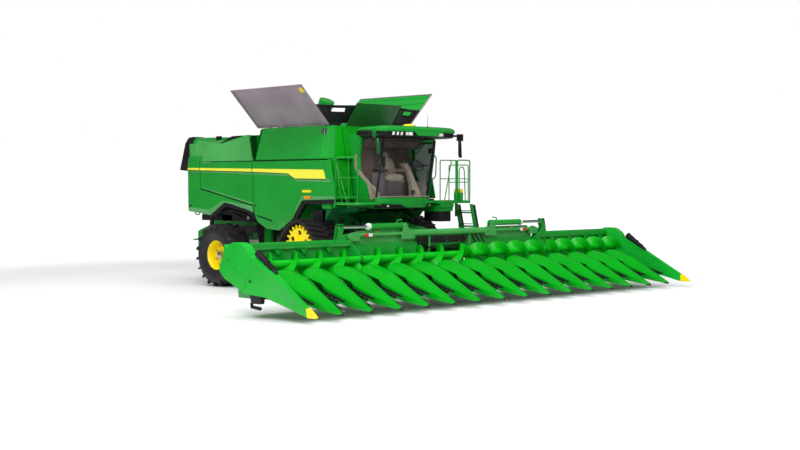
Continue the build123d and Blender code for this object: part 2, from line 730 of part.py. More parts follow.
MIRROR_ARM_Z = 3700
with BuildPart() as mirrors:
    for side, reach, y in ((-1, 1450, -4050), (1, 1880, -3750)):
        x = side * reach
        rail(
            (
                (side * 1204, -4150, MIRROR_ARM_Z),
                (side * 1300, -4150, MIRROR_ARM_Z),
                (x, y, MIRROR_ARM_Z + 60),
                (x, y, MIRROR_ARM_Z - 20),
            ),
            18,
            30,
        )
        block((x - 100, x + 100), (y - 30, y + 50), (3190, MIRROR_ARM_Z - 10))
mirrors.part.label = "mirrors"
export_step(mirrors.part, "parts/mirrors.step")

# ---------------------------------------------------------------- platforms and ladder
DECK_Z = (2090, 2150)
LADDER_PIVOT = (2000, -3500)
LADDER_FAR_Y = -3980
LADDER_SLEEVE_Z = (1760, DECK_Z[0] - SEAT_GAP)
LADDER_SLEEVE_R = 32
LADDER_PIN_R = 18
TUBE_R = 20
RAILING_Z = 3150
with BuildPart() as left_platform:
    flat_prism(
        (
            (CAB_HALF_WIDTH + 50, -3230),
            (CAB_HALF_WIDTH + 50, -4000),
            (1960, -4000),
            (1960, -3230),
        ),
        DECK_Z,
    )
    block((CAB_HALF_WIDTH + SEAT_GAP, 1300), (-3400, -3300), (1990, DECK_Z[0]))
    for start, end in (((1300, -3980), (1900, -3980)), ((1930, -3250), (1930, -3450))):
        rail(
            ((*start, DECK_Z[1]), (*start, RAILING_Z), (*end, RAILING_Z), (*end, DECK_Z[1])),
            TUBE_R,
            60,
        )
    bar((1300, -3980, 2750), (1900, -3980, 2750), TUBE_R)
    block((1960, LADDER_PIVOT[0] + 35), (LADDER_PIVOT[1] - 30, LADDER_PIVOT[1] + 30), DECK_Z)
    bar((*LADDER_PIVOT, LADDER_SLEEVE_Z[0]), (*LADDER_PIVOT, DECK_Z[0] + 10), LADDER_PIN_R)
left_platform.part.label = "left_platform"
export_step(left_platform.part, "parts/left_platform.step")

with BuildPart() as ladder:
    for y in (LADDER_PIVOT[1], LADDER_FAR_Y):
        side_x = LADDER_PIVOT[0]
        front_prism(
            ((side_x - 20, 2070), (side_x + 60, 2070), (side_x + 480, 450), (side_x + 400, 450)),
            (y - 20, y + 20),
        )
    for step in range(5):
        z = 480 + step * 340
        x = LADDER_PIVOT[0] + 405 - (z - 450) * 420 / 1620
        block((x - 60, x + 160), (LADDER_FAR_Y, LADDER_PIVOT[1]), (z, z + 35))
    bar((*LADDER_PIVOT, LADDER_SLEEVE_Z[0]), (*LADDER_PIVOT, LADDER_SLEEVE_Z[1]), LADDER_SLEEVE_R)
    bar(
        (*LADDER_PIVOT, LADDER_SLEEVE_Z[0] - 1),
        (*LADDER_PIVOT, LADDER_SLEEVE_Z[1]),
        LADDER_PIN_R + PIN_FIT,
        mode=Mode.SUBTRACT,
    )
ladder.part.label = "ladder"
export_step(ladder.part, "parts/ladder.step")

with BuildPart() as right_platform:
    block((-1720, -1640), (-4430, -3230), (DECK_Z[0] + 20, DECK_Z[1] + 40))
    block((-1640, -CAB_HALF_WIDTH - SEAT_GAP), (-3400, -3300), (2060, 2140))
    for y in (-4230, -3500, -3250):
        bar((-1680, y, DECK_Z[1] + 40), (-1680, y, 3070), TUBE_R - 3)
    bar((-1680, -4260, 3070), (-1680, -3240, 3070), TUBE_R)
    bar((-1680, -4260, 2710), (-1680, -3240, 2710), TUBE_R)
right_platform.part.label = "right_platform"
export_step(right_platform.part, "parts/right_platform.step")

# ---------------------------------------------------------------- front axle and tracks
TRACK_MIDDLE_X = TRACK_IN_X + TRACK_WIDTH / 2
GROUND_WHEELS = (
    (SPROCKET_Y - IDLER_REACH, IDLER_R + TRACK_THICKNESS),
    (SPROCKET_Y + IDLER_REACH, IDLER_R + TRACK_THICKNESS),
)
IDLER_SHAFT_R = 60
ROLLER_Y = (SPROCKET_Y - 330, SPROCKET_Y + 330)
ROLLER_Z = TRACK_THICKNESS + ROLLER_R + SEAT_GAP
ROLLER_SHAFT_R = 45
with BuildPart() as front_axle:
    block(
        (-TRACK_IN_X + 60, TRACK_IN_X - 60),
        (SPROCKET_Y - 130, SPROCKET_Y + 130),
        (SPROCKET_Z - 170, SPROCKET_Z + RAIL_Z[0] - SPROCKET_Z - SEAT_GAP),
    )
    hub_x = TRACK_MIDDLE_X + SPROCKET_SET - SEAT_GAP
    bar((-hub_x, SPROCKET_Y, SPROCKET_Z), (hub_x, SPROCKET_Y, SPROCKET_Z), HUB_R)
    # Ears and pins that carry the lift cylinders
    for side in (-1, 1):
        for inner in (-LIFT_EAR_GAP - LIFT_EAR, LIFT_EAR_GAP):
            block(
                (side * LIFT_X + inner, side * LIFT_X + inner + LIFT_EAR),
                (LIFT_BASE[0] - 60, SPROCKET_Y + 40),
                (LIFT_BASE[1] - 60, SPROCKET_Z - 160),
            )
        pin_end = LIFT_EAR_GAP + LIFT_EAR
        bar((side * LIFT_X - pin_end, *LIFT_BASE), (side * LIFT_X + pin_end, *LIFT_BASE), LIFT_PIN_R)
front_axle.part.label = "front_axle"
export_step(front_axle.part, "parts/front_axle.step")


def track_loop(shrink):
    """The track's belt line, drawn in by a distance."""
    outer = TRACK_THICKNESS - shrink
    return belt_outline(
        (
            (SPROCKET_Y - IDLER_REACH, IDLER_R + TRACK_THICKNESS, IDLER_R + outer),
            (SPROCKET_Y + IDLER_REACH, IDLER_R + TRACK_THICKNESS, IDLER_R + outer),
            (SPROCKET_Y, SPROCKET_Z, SPROCKET_R + outer),
        )
    )


with BuildPart() as track_belts:
    with BuildSketch(Plane.YZ.offset(TRACK_IN_X)) as loop:
        add(track_loop(0))
        add(track_loop(TRACK_THICKNESS), mode=Mode.SUBTRACT)
    extrude(amount=TRACK_WIDTH)
    mirror(about=Plane.YZ)
track_belts.part.label = "track_belts"
export_step(track_belts.part, "parts/track_belts.step")

with BuildPart() as track_wheels:
    bar(
        (TRACK_MIDDLE_X + SPROCKET_SET, SPROCKET_Y, SPROCKET_Z),
        (TRACK_IN_X + TRACK_WIDTH - 60, SPROCKET_Y, SPROCKET_Z),
        SPROCKET_R - SEAT_GAP,
    )
    for y, z in GROUND_WHEELS:
        for x in (TRACK_IN_X + 60, TRACK_MIDDLE_X + 100):
            bar((x, y, z), (x + 290, y, z), IDLER_R - SEAT_GAP)
        bar((TRACK_IN_X + 60, y, z), (TRACK_IN_X + 700, y, z), IDLER_SHAFT_R)
    for y in ROLLER_Y:
        for x in (TRACK_IN_X + 60, TRACK_MIDDLE_X + 100):
            bar((x, y, ROLLER_Z), (x + 290, y, ROLLER_Z), ROLLER_R)
        bar((TRACK_IN_X + 60, y, ROLLER_Z), (TRACK_IN_X + 700, y, ROLLER_Z), ROLLER_SHAFT_R)
    mirror(about=Plane.YZ)
track_wheels.part.label = "track_wheels"
export_step(track_wheels.part, "parts/track_wheels.step")

with BuildPart() as track_frames:
    side_prism(
        (
            (SPROCKET_Y - IDLER_REACH - 80, 470),
            (SPROCKET_Y - IDLER_REACH - 80, 330),
            (SPROCKET_Y + IDLER_REACH + 80, 330),
            (SPROCKET_Y + IDLER_REACH + 80, 470),
            (SPROCKET_Y + 200, 980),
            (SPROCKET_Y + 150, 1320),
            (SPROCKET_Y - 150, 1320),
            (SPROCKET_Y - 200, 980),
        ),
        (TRACK_MIDDLE_X - 85, TRACK_MIDDLE_X + 85),
    )
    for y, z, radius in (
        (SPROCKET_Y, SPROCKET_Z, HUB_R),
        *((y, z, IDLER_SHAFT_R) for y, z in GROUND_WHEELS),
        *((y, ROLLER_Z, ROLLER_SHAFT_R) for y in ROLLER_Y),
    ):
        bar(
            (TRACK_MIDDLE_X - 200, y, z),
            (TRACK_MIDDLE_X + 200, y, z),
            radius + PIN_FIT,
            mode=Mode.SUBTRACT,
        )
    mirror(about=Plane.YZ)
track_frames.part.label = "track_frames"
export_step(track_frames.part, "parts/track_frames.step")

# ---------------------------------------------------------------- rear axle, steering and wheels
AXLE_Z = TYRE_R
HITCH_Z = 620
HITCH_PLATE = 25
HITCH_JAW = 50
HITCH_PIN_Y = 1330
HITCH_BORE_R = 16


def kingpin(side, half, radius, mode=Mode.ADD):
    """An upright bar on a kingpin's axis."""
    x = side * KINGPIN_X
    bar((x, REAR_AXLE_Y, AXLE_Z - half), (x, REAR_AXLE_Y, AXLE_Z + half), radius, mode)


with BuildPart() as rear_axle:
    block((-1010, 1010), (REAR_AXLE_Y - 90, REAR_AXLE_Y + 90), (AXLE_Z - 90, AXLE_Z + 110))
    block((-160, 160), (REAR_AXLE_Y - 130, REAR_AXLE_Y + 130), (AXLE_Z + 110, RAIL_Z[0] - 60))
    block(
        (-RAIL_X - 45, RAIL_X + 45),
        (REAR_AXLE_Y - 130, REAR_AXLE_Y + 130),
        (RAIL_Z[0] - 100, RAIL_Z[0] - SEAT_GAP),
    )
    for side in (-1, 1):
        for z in ((AXLE_Z - 190, AXLE_Z - 130), (AXLE_Z + 130, AXLE_Z + 190)):
            block(span(side, 960, KINGPIN_X + 70), (REAR_AXLE_Y - 70, REAR_AXLE_Y + 70), z)
        block(span(side, 960, 1010), (REAR_AXLE_Y - 70, REAR_AXLE_Y + 70), (AXLE_Z - 190, AXLE_Z + 190))
        kingpin(side, 190, KINGPIN_R)
    # Trailer hitch: two plates with a bore for its pin
    for z in (HITCH_Z, HITCH_Z + HITCH_PLATE + HITCH_JAW):
        block((-60, 60), (REAR_AXLE_Y + 60, HITCH_PIN_Y + 45), (z, z + HITCH_PLATE))
    block((-60, 60), (REAR_AXLE_Y + 60, REAR_AXLE_Y + 150), (HITCH_Z, AXLE_Z - 60))
    bar((0, HITCH_PIN_Y, HITCH_Z - 10), (0, HITCH_PIN_Y, AXLE_Z), HITCH_BORE_R, mode=Mode.SUBTRACT)
rear_axle.part.label = "rear_axle"
export_step(rear_axle.part, "parts/rear_axle.step")

for side_name, side in SIDES:
    with BuildPart() as steering_knuckle:
        kingpin(side, 120, 95)
        bar(
            (side * KINGPIN_X, REAR_AXLE_Y, AXLE_Z),
            (side * (TYRE_TRACK_X - RIM_DISC_SET - SEAT_GAP), REAR_AXLE_Y, AXLE_Z),
            80,
        )
        block(
            span(side, KINGPIN_X - 45, KINGPIN_X + 45),
            (REAR_AXLE_Y, REAR_AXLE_Y + STEER_ARM + 45),
            (AXLE_Z - 60, AXLE_Z - 20),
        )
        kingpin(side, 130, KINGPIN_R + PIN_FIT, mode=Mode.SUBTRACT)
    steering_knuckle.part.label = f"steering_knuckle_{side_name}"
    export_step(steering_knuckle.part, f"parts/steering_knuckle_{side_name}.step")

    with BuildPart() as rear_rim:
        with BuildSketch(Plane.XY):
            with BuildLine():
                half = TYRE_WIDTH / 2
                Polyline(
                    (0, -RIM_DISC_SET),
                    (190, -RIM_DISC_SET),
                    (240, -280),
                    (RIM_R - 25, -half + 30),
                    (RIM_R - 25, half - 30),
                    (RIM_R, half - 30),
                    (RIM_R, half),
                    (RIM_R - 45, half),
                    (RIM_R - 55, -40),
                    (220, -60),
                    (0, -60),
                    close=True,
                )
            make_face()
        revolve(axis=Axis.Y)
    rim_place = Location((side * TYRE_TRACK_X, REAR_AXLE_Y, AXLE_Z), (0, 0, -90 * side))
    placed_rim = rear_rim.part.locate(rim_place)
    placed_rim.label = f"rear_rim_{side_name}"
    export_step(placed_rim, f"parts/rear_rim_{side_name}.step")

    with BuildPart() as rear_tyre:
        with BuildSketch(Plane.XY):
            with BuildLine():
                half = TYRE_WIDTH / 2
                Polyline(
                    (RIM_R - 24.7, -half + 40),
                    (RIM_R + 120, -half + 5),
                    (RIM_R + 240, -half),
                    (TYRE_R - 90, -half + 20),
                    (TYRE_R - 30, -half + 60),
                    (TYRE_R, 0),
                    (TYRE_R - 30, half - 60),
                    (TYRE_R - 90, half - 20),
                    (RIM_R + 240, half),
                    (RIM_R + 120, half - 5),
                    (RIM_R + 4, half - 31),
                    (RIM_R - 24.7, half - 31),
                    close=True,
                )
            make_face()
        revolve(axis=Axis.Y)
    placed_tyre = rear_tyre.part.locate(rim_place)
    placed_tyre.label = f"rear_tyre_{side_name}"
    export_step(placed_tyre, f"parts/rear_tyre_{side_name}.step")

TIE_Y = REAR_AXLE_Y + STEER_ARM
with BuildPart() as tie_rod:
    bar((-KINGPIN_X, TIE_Y, AXLE_Z - 4), (KINGPIN_X, TIE_Y, AXLE_Z - 4), 14)
    for side in (-1, 1):
        bar((side * KINGPIN_X, TIE_Y, AXLE_Z - 20 + SEAT_GAP), (side * KINGPIN_X, TIE_Y, AXLE_Z + 12), 34)
tie_rod.part.label = "tie_rod"
export_step(tie_rod.part, "parts/tie_rod.step")

# ---------------------------------------------------------------- chopper and tailboard
CHOPPER_REAR_Y = 2860
with BuildPart() as straw_chopper:
    side_prism(
        (
            (1850, RAIL_Z[0] - SEAT_GAP),
            (2560, RAIL_Z[0] - SEAT_GAP),
            (CHOPPER_REAR_Y, 1180),
            (CHOPPER_REAR_Y, 1010),
            (2300, 900),
            (1900, 1080),
        ),
        (-740, 740),
    )
straw_chopper.part.label = "straw_chopper"
export_step(straw_chopper.part, "parts/straw_chopper.step")

with BuildPart() as tailboard:
    side_prism(
        (
            (CHOPPER_REAR_Y + SEAT_GAP, 1170),
            (2920, 1180),
            (3620, 1060),
            (3620, 1030),
            (2900, 1100),
            (CHOPPER_REAR_Y + SEAT_GAP, 1090),
        ),
        (-800, 800),
    )
tailboard.part.label = "tailboard"
export_step(tailboard.part, "parts/tailboard.step")

# ---------------------------------------------------------------- feeder house
FEEDER_REAR_Y = FEEDER_PIVOT_Y + 130
with BuildPart() as feeder_house:
    side_prism(
        (
            (FEEDER_REAR_Y, 1700),
            (FEEDER_REAR_Y, 1280),
            (FEEDER_MOUTH_Y + 60, 560),
            (FEEDER_MOUTH_Y, 560),
            (FEEDER_MOUTH_Y, 1180),
            (-3900, 1500),
            (-3300, 1600),
        ),
        (-FEEDER_HALF_WIDTH, FEEDER_HALF_WIDTH),
    )
    side_prism(
        (
            (FEEDER_REAR_Y + 1, 1620),
            (FEEDER_REAR_Y + 1, 1360),
            (FEEDER_MOUTH_Y - 1, 640),
            (FEEDER_MOUTH_Y - 1, 1100),
            (-3900, 1420),
            (-3300, 1520),
        ),
        (-FEEDER_HALF_WIDTH + 60, FEEDER_HALF_WIDTH - 60),
        mode=Mode.SUBTRACT,
    )
    for side in (-1, 1):
        bar(
            (side * (FEEDER_HALF_WIDTH - 5), FEEDER_PIVOT_Y, FEEDER_PIVOT_Z),
            (side * (RAIL_X + RAIL_WIDTH / 2), FEEDER_PIVOT_Y, FEEDER_PIVOT_Z),
            FEEDER_SHAFT_R,
        )
        # Ears around the lift rods' eyes
        for inner in (-LIFT_EAR_GAP - LIFT_EAR, LIFT_EAR_GAP):
            ear = (side * LIFT_X + inner, side * LIFT_X + inner + LIFT_EAR)
            side_prism(
                (
                    (LIFT_EYE[0] + 130, 880),
                    (LIFT_EYE[0] + 60, LIFT_EYE[1] - 60),
                    (LIFT_EYE[0] - 60, LIFT_EYE[1] - 60),
                    (LIFT_EYE[0] - 130, 780),
                ),
                ear,
            )
feeder_house.part.label = "feeder_house"
export_step(feeder_house.part, "parts/feeder_house.step")

# ---------------------------------------------------------------- corn header
# Upright sections of a snout, front to rear, as (y, width, base, top)
NOSE = (
    (SNOUT_TIP_Y, 50, SNOUT_TIP_Z - 25, SNOUT_TIP_Z),
    (-6900, 330, 275, 468),
    (-6620, 470, 345, 620),
    (KNEE_Y, 600, 600, 770),
)
HOOD = (
    (KNEE_Y - 40, 540, 610, 765),
    (-5940, 636, 735, 885),
    (-5710, 400, 815, 905),
)
FRAME_FRONT_Y = -5760
SNOUT_FOOT_Y = (-6080, FRAME_FRONT_Y - SEAT_GAP)
SNOUT_FOOT_Z = (600, 780)
DECK_HALF = 105
DECK_SLOT = 18
TROUGH_R = FLIGHT_R + TROUGH_GAP


def snout(x):
    """One snout: a deep pointed nose, then a broad shallow hood up to the auger."""
    for sections in (NOSE, HOOD):
        loft([arch(x, y, width, base, top) for y, width, base, top in sections], ruled=True)


def row_unit(x):
    """One row's deck plates, stalk rolls and gearbox, under the gap between two snouts."""
    for side in (-1, 1):
        side_prism(
            ((-6950, 290), (FRAME_FRONT_Y - 20, 610), (FRAME_FRONT_Y - 20, 626), (-6950, 306)),
            (x + min(side * DECK_SLOT, side * DECK_HALF), x + max(side * DECK_SLOT, side * DECK_HALF)),
        )
        bar((x + side * 62, -6050, 430), (x + side * 62, -6860, 195), 42)
    block((x - 150, x + 150), (-6110, FRAME_FRONT_Y - SEAT_GAP), (370, 560))
    block((x - 150, x + 150), (-5900, FRAME_FRONT_Y - SEAT_GAP), (540, 600))


def header_frame(x):
    """The beam, back sheet, auger trough and floor rail of one section."""
    half = BEAM_SIZE / 2
    block(x, (BEAM_Y - half, BEAM_Y + half), (BEAM_Z - half, BEAM_Z + half))
    side_prism(
        (
            (FRAME_FRONT_Y, 690),
            (FRAME_FRONT_Y, 400),
            (BEAM_Y + 40, 400),
            (BEAM_Y + 40, BEAM_Z),
            (BEAM_Y, BEAM_Z),
            (BEAM_Y - 25, 1010),
            (AUGER_Y + 210, AUGER_Z - TROUGH_R + 70),
            (AUGER_Y + 90, AUGER_Z - TROUGH_R - 5),
            (AUGER_Y - 120, AUGER_Z - TROUGH_R - 5),
        ),
        x,
    )


def hanger(x):
    """An arm that comes down from the beam and holds an auger's shaft."""
    side_prism(
        (
            (BEAM_Y - 75, BEAM_Z - 60),
            (BEAM_Y + 40, BEAM_Z - 60),
            (BEAM_Y + 40, 1120),
            (AUGER_Y + 60, AUGER_Z - 60),
            (AUGER_Y - 60, AUGER_Z - 60),
            (AUGER_Y - 60, AUGER_Z + 60),
        ),
        x,
    )
    bar((x[0] - 1, AUGER_Y, AUGER_Z), (x[1] + 1, AUGER_Y, AUGER_Z), SHAFT_R + PIN_FIT, mode=Mode.SUBTRACT)


def header_auger(low, high, hand, shaft):
    """A tube with one helical flight on a longer shaft; hand is 1 or -1."""
    bar((shaft[0], AUGER_Y, AUGER_Z), (shaft[1], AUGER_Y, AUGER_Z), SHAFT_R)
    bar((low, AUGER_Y, AUGER_Z), (high, AUGER_Y, AUGER_Z), AUGER_TUBE_R)
    start = low + 30
    length = high - low - 60
    with BuildSketch(Plane.YZ.offset(start)) as blade:
        with Locations((AUGER_Y, AUGER_Z + (AUGER_TUBE_R - 5 + FLIGHT_R) / 2)):
            Rectangle(FLIGHT_THICKNESS * 1.6, FLIGHT_R - AUGER_TUBE_R + 5)
    turn = 360 * length / FLIGHT_PITCH * hand
    add(
        Solid.extrude_linear_with_rotation(
            blade.sketch.faces()[0],
            center=(start, AUGER_Y, AUGER_Z),
            normal=(length, 0, 0),
            angle=turn,
        )
    )


def hinge_bar(axis, y, radius, mode=Mode.ADD):
    """A round bar along Y on a hinge's axis."""
    bar((axis[0], y[0], axis[2]), (axis[0], y[1], axis[2]), radius, mode)


def fold_bar(side, x, radius, mode=Mode.ADD):
    """A round bar along a fold cylinder's axis, between two distances from the middle."""
    low, high = [(side * value, FOLD_CYLINDER_Y, FOLD_CYLINDER_Z) for value in x]
    bar(low, high, radius, mode)


FOLD_HINGE_Y = (BEAM_Y - BEAM_SIZE / 2, BEAM_Y, BEAM_Y + BEAM_SIZE / 2)
FOLD_BASE_R = 80
FOLD_BASE_HALF = 45
FOLD_NECK_R = 42

snout_x = [ROW_PITCH * number for number in range(-7, 8)]
row_x = [ROW_PITCH * (number - (ROWS - 1) / 2) for number in range(ROWS)]
SECTION_GAP = 12
HANGER = 20
HANGER_X = WING_SPLIT_X - SECTION_GAP - HANGER
WING_HANGER_X = WING_SPLIT_X + SECTION_GAP
SHAFT_R = 30

with BuildPart() as header_center_frame:
    header_frame((-WING_SPLIT_X + SECTION_GAP, WING_SPLIT_X - SECTION_GAP))
    block((-620, 620), (-5300, BEAM_Y + 100), (700, 1200), mode=Mode.SUBTRACT)
    block((-FEEDER_HALF_WIDTH, FEEDER_HALF_WIDTH), (BEAM_Y + 40, FEEDER_MOUTH_Y - SEAT_GAP), (560, 690))
    block((-FEEDER_HALF_WIDTH, FEEDER_HALF_WIDTH), (BEAM_Y + 40, FEEDER_MOUTH_Y - SEAT_GAP), (1210, 1420))
    block((-760, 760), (FEEDER_MOUTH_Y - 30, FEEDER_MOUTH_Y - SEAT_GAP), (560, 640))
    for side in (-1, 1):
        hanger(span(side, HANGER_X, HANGER_X + HANGER))
        # Back panel beside the feeder opening
        block(span(side, 1350, 2730), (BEAM_Y + 75, BEAM_Y + 115), (BEAM_Z, 1520))
        # Clevis that holds the fold cylinder's barrel
        base_x = span(side, FOLD_BASE_X - 90, FOLD_BASE_X + 70)
        block(base_x, (BEAM_Y - 75, BEAM_Y + 75), (BEAM_Z + 70, FOLD_CYLINDER_Z - FOLD_BASE_R - SEAT_GAP))
        for y in (FOLD_CYLINDER_Y - FOLD_BASE_HALF - 15, FOLD_CYLINDER_Y + FOLD_BASE_HALF + SEAT_GAP):
            block(base_x, (y, y + 15 - SEAT_GAP), (BEAM_Z + 70, FOLD_CYLINDER_Z + 40))
        # Fold hinge: this section's knuckle and its pin
        block(
            span(side, WING_SPLIT_X - 180, WING_SPLIT_X),
            (FOLD_HINGE_Y[0], FOLD_HINGE_Y[1] - 2),
            (BEAM_Z + 70, FOLD_PIVOT_Z + FOLD_KNUCKLE_R),
        )
        fold_axis = (side * WING_SPLIT_X, 0, FOLD_PIVOT_Z)
        hinge_bar(fold_axis, (FOLD_HINGE_Y[0], FOLD_HINGE_Y[1] - 2), FOLD_KNUCKLE_R)
        other_half = (FOLD_HINGE_Y[1] + 2, FOLD_HINGE_Y[2] + 1)
        hinge_bar(fold_axis, other_half, FOLD_KNUCKLE_R + 8, mode=Mode.SUBTRACT)
        hinge_bar(fold_axis, (FOLD_HINGE_Y[0], FOLD_HINGE_Y[2]), FOLD_PIN_R)
header_center_frame.part.label = "header_center_frame"
export_step(header_center_frame.part, "parts/header_center_frame.step")

with BuildPart() as header_center_rows:
    for x in snout_x:
        if abs(x) < WING_SPLIT_X - 100:
            snout(x)
            block((x - 60, x + 60), SNOUT_FOOT_Y, SNOUT_FOOT_Z)
    for x in row_x:
        if abs(x) < WING_SPLIT_X - 100:
            row_unit(x)
header_center_rows.part.label = "header_center_rows"
export_step(header_center_rows.part, "parts/header_center_rows.step")

with BuildPart() as header_center_auger:
    shaft = (-HANGER_X - HANGER, HANGER_X + HANGER)
    header_auger(-HANGER_X + RUNNING_GAP, 0, -1, shaft)
    header_auger(0, HANGER_X - RUNNING_GAP, 1, shaft)
header_center_auger.part.label = "header_center_auger"
export_step(header_center_auger.part, "parts/header_center_auger.step")

# End divider panel, (y, z)
DIVIDER_OUTLINE = (
    (DIVIDER_TIP_Y, 165),
    (-7280, 160),
    (-6140, 430),
    (-5490, 470),
    (-4900, 830),
    (-4950, 1390),
    (-5150, 1430),
    (-5480, 1430),
    (-5630, 1250),
    (-5900, 1260),
    (-6580, 740),
    (DIVIDER_TIP_Y, 205),
)
for side_name, side in SIDES:
    wing_x = span(side, WING_SPLIT_X + SECTION_GAP, HEADER_END_X)
    with BuildPart() as header_wing_frame:
        header_frame(wing_x)
        # Fold hinge: this section's knuckle, around the pin
        block(
            span(side, WING_SPLIT_X, WING_SPLIT_X + 180),
            (FOLD_HINGE_Y[1] + 2, FOLD_HINGE_Y[2]),
            (BEAM_Z + 70, FOLD_PIVOT_Z + FOLD_KNUCKLE_R),
        )
        fold_axis = (side * WING_SPLIT_X, 0, FOLD_PIVOT_Z)
        hinge_bar(fold_axis, (FOLD_HINGE_Y[1] + 2, FOLD_HINGE_Y[2]), FOLD_KNUCKLE_R)
        other_half = (FOLD_HINGE_Y[0] - 1, FOLD_HINGE_Y[1])
        hinge_bar(fold_axis, other_half, FOLD_KNUCKLE_R + 8, mode=Mode.SUBTRACT)
        bore = (FOLD_HINGE_Y[0] - 1, FOLD_HINGE_Y[2] + 1)
        hinge_bar(fold_axis, bore, FOLD_PIN_R + PIN_FIT, mode=Mode.SUBTRACT)
        side_prism(DIVIDER_OUTLINE, span(side, HEADER_END_X, DIVIDER_OUT_X))
        # The divider narrows towards its tip, on its inner side.
        flat_prism(
            (
                (side * (HEADER_END_X - 1), -6200),
                (side * (HEADER_END_X + 1), -6200),
                (side * (DIVIDER_OUT_X - 60), DIVIDER_TIP_Y + 60),
                (side * (DIVIDER_OUT_X - 40), DIVIDER_TIP_Y - 10),
                (side * (HEADER_END_X - 1), DIVIDER_TIP_Y - 10),
            ),
            (100, 1300),
            mode=Mode.SUBTRACT,
        )
        hanger(span(side, WING_HANGER_X, WING_HANGER_X + HANGER))
        bar(
            (side * (HEADER_END_X - 1), AUGER_Y, AUGER_Z),
            (side * (HEADER_END_X + 26), AUGER_Y, AUGER_Z),
            SHAFT_R + PIN_FIT,
            mode=Mode.SUBTRACT,
        )
        # Ears around the fold rod's eye
        for y in (FOLD_CYLINDER_Y - 60, FOLD_CYLINDER_Y + 40):
            front_prism(
                (
                    (side * (WING_SPLIT_X + 60), BEAM_Z),
                    (side * (WING_SPLIT_X + 420), BEAM_Z),
                    (side * (FOLD_EYE_X + 60), FOLD_CYLINDER_Z + 50),
                    (side * (FOLD_EYE_X - 60), FOLD_CYLINDER_Z + 50),
                ),
                (y, y + 20),
            )
    header_wing_frame.part.label = f"header_{side_name}_frame"
    export_step(header_wing_frame.part, f"parts/header_{side_name}_frame.step")

    with BuildPart() as header_wing_rows:
        for x in snout_x:
            if side * x > WING_SPLIT_X - 100:
                snout(x)
                inner_snout = side * x < WING_SPLIT_X + 100
                foot_x = span(side, side * x + 20, side * x + 100) if inner_snout else (x - 60, x + 60)
                block(foot_x, SNOUT_FOOT_Y, SNOUT_FOOT_Z)
        for x in row_x:
            if side * x > WING_SPLIT_X:
                row_unit(x)
    header_wing_rows.part.label = f"header_{side_name}_rows"
    export_step(header_wing_rows.part, f"parts/header_{side_name}_rows.step")

    with BuildPart() as header_wing_auger:
        low, high = span(side, WING_HANGER_X + HANGER + RUNNING_GAP, HEADER_END_X - RUNNING_GAP)
        header_auger(low, high, side, span(side, WING_HANGER_X, HEADER_END_X + 25))
    header_wing_auger.part.label = f"header_{side_name}_auger"
    export_step(header_wing_auger.part, f"parts/header_{side_name}_auger.step")

    with BuildPart() as fold_rod:
        fold_bar(side, (FOLD_GLAND_X - 300, FOLD_EYE_X), FOLD_ROD_R)
        eye_axis = (side * FOLD_EYE_X, 0, FOLD_CYLINDER_Z)
        hinge_bar(eye_axis, (FOLD_CYLINDER_Y - 32, FOLD_CYLINDER_Y + 32), 60)
    fold_rod.part.label = f"fold_rod_{side_name}"
    export_step(fold_rod.part, f"parts/fold_rod_{side_name}.step")

with BuildPart() as fold_barrels:
    for side in (-1, 1):
        fold_bar(side, (FOLD_BASE_X, FOLD_GLAND_X), FOLD_NECK_R)
        fold_bar(side, (FOLD_BASE_X + 80, FOLD_GLAND_X), FOLD_BARREL_R)
        fold_bar(side, (FOLD_BASE_X + 80, FOLD_GLAND_X + 1), FOLD_ROD_R + ROD_FIT, mode=Mode.SUBTRACT)
        hinge_bar(
            (side * FOLD_BASE_X, 0, FOLD_CYLINDER_Z),
            (FOLD_CYLINDER_Y - FOLD_BASE_HALF, FOLD_CYLINDER_Y + FOLD_BASE_HALF),
            FOLD_BASE_R,
        )
fold_barrels.part.label = "fold_barrels"
export_step(fold_barrels.part, "parts/fold_barrels.step")

# ---------------------------------------------------------------- lift cylinders
LIFT_BARREL_LENGTH = 900
with BuildPart() as lift_barrels:
    for side in (-1, 1):
        base = Vector(side * LIFT_X, *LIFT_BASE)
        eye = Vector(side * LIFT_X, *LIFT_EYE)
        run = (eye - base).normalized()
        across = Vector(LIFT_EYE_HALF, 0, 0)
        bar(base + run * 50, base + run * LIFT_BARREL_LENGTH, LIFT_BARREL_R)
        bar(base - across, base + across, LIFT_EYE_R)
        bar(base + run * 160, base + run * (LIFT_BARREL_LENGTH + 1), LIFT_ROD_R + ROD_FIT, mode=Mode.SUBTRACT)
        bar(base - across * 1.1, base + across * 1.1, LIFT_PIN_R + PIN_FIT, mode=Mode.SUBTRACT)
lift_barrels.part.label = "lift_barrels"
export_step(lift_barrels.part, "parts/lift_barrels.step")

with BuildPart() as lift_rods:
    for side in (-1, 1):
        base = Vector(side * LIFT_X, *LIFT_BASE)
        eye = Vector(side * LIFT_X, *LIFT_EYE)
        run = (eye - base).normalized()
        across = Vector(LIFT_EYE_HALF, 0, 0)
        bar(base + run * 560, eye - run * 40, LIFT_ROD_R)
        bar(eye - across, eye + across, LIFT_EYE_R)
        bar(eye - across * 1.1, eye + across * 1.1, LIFT_PIN_R, mode=Mode.SUBTRACT)
lift_rods.part.label = "lift_rods"
export_step(lift_rods.part, "parts/lift_rods.step")
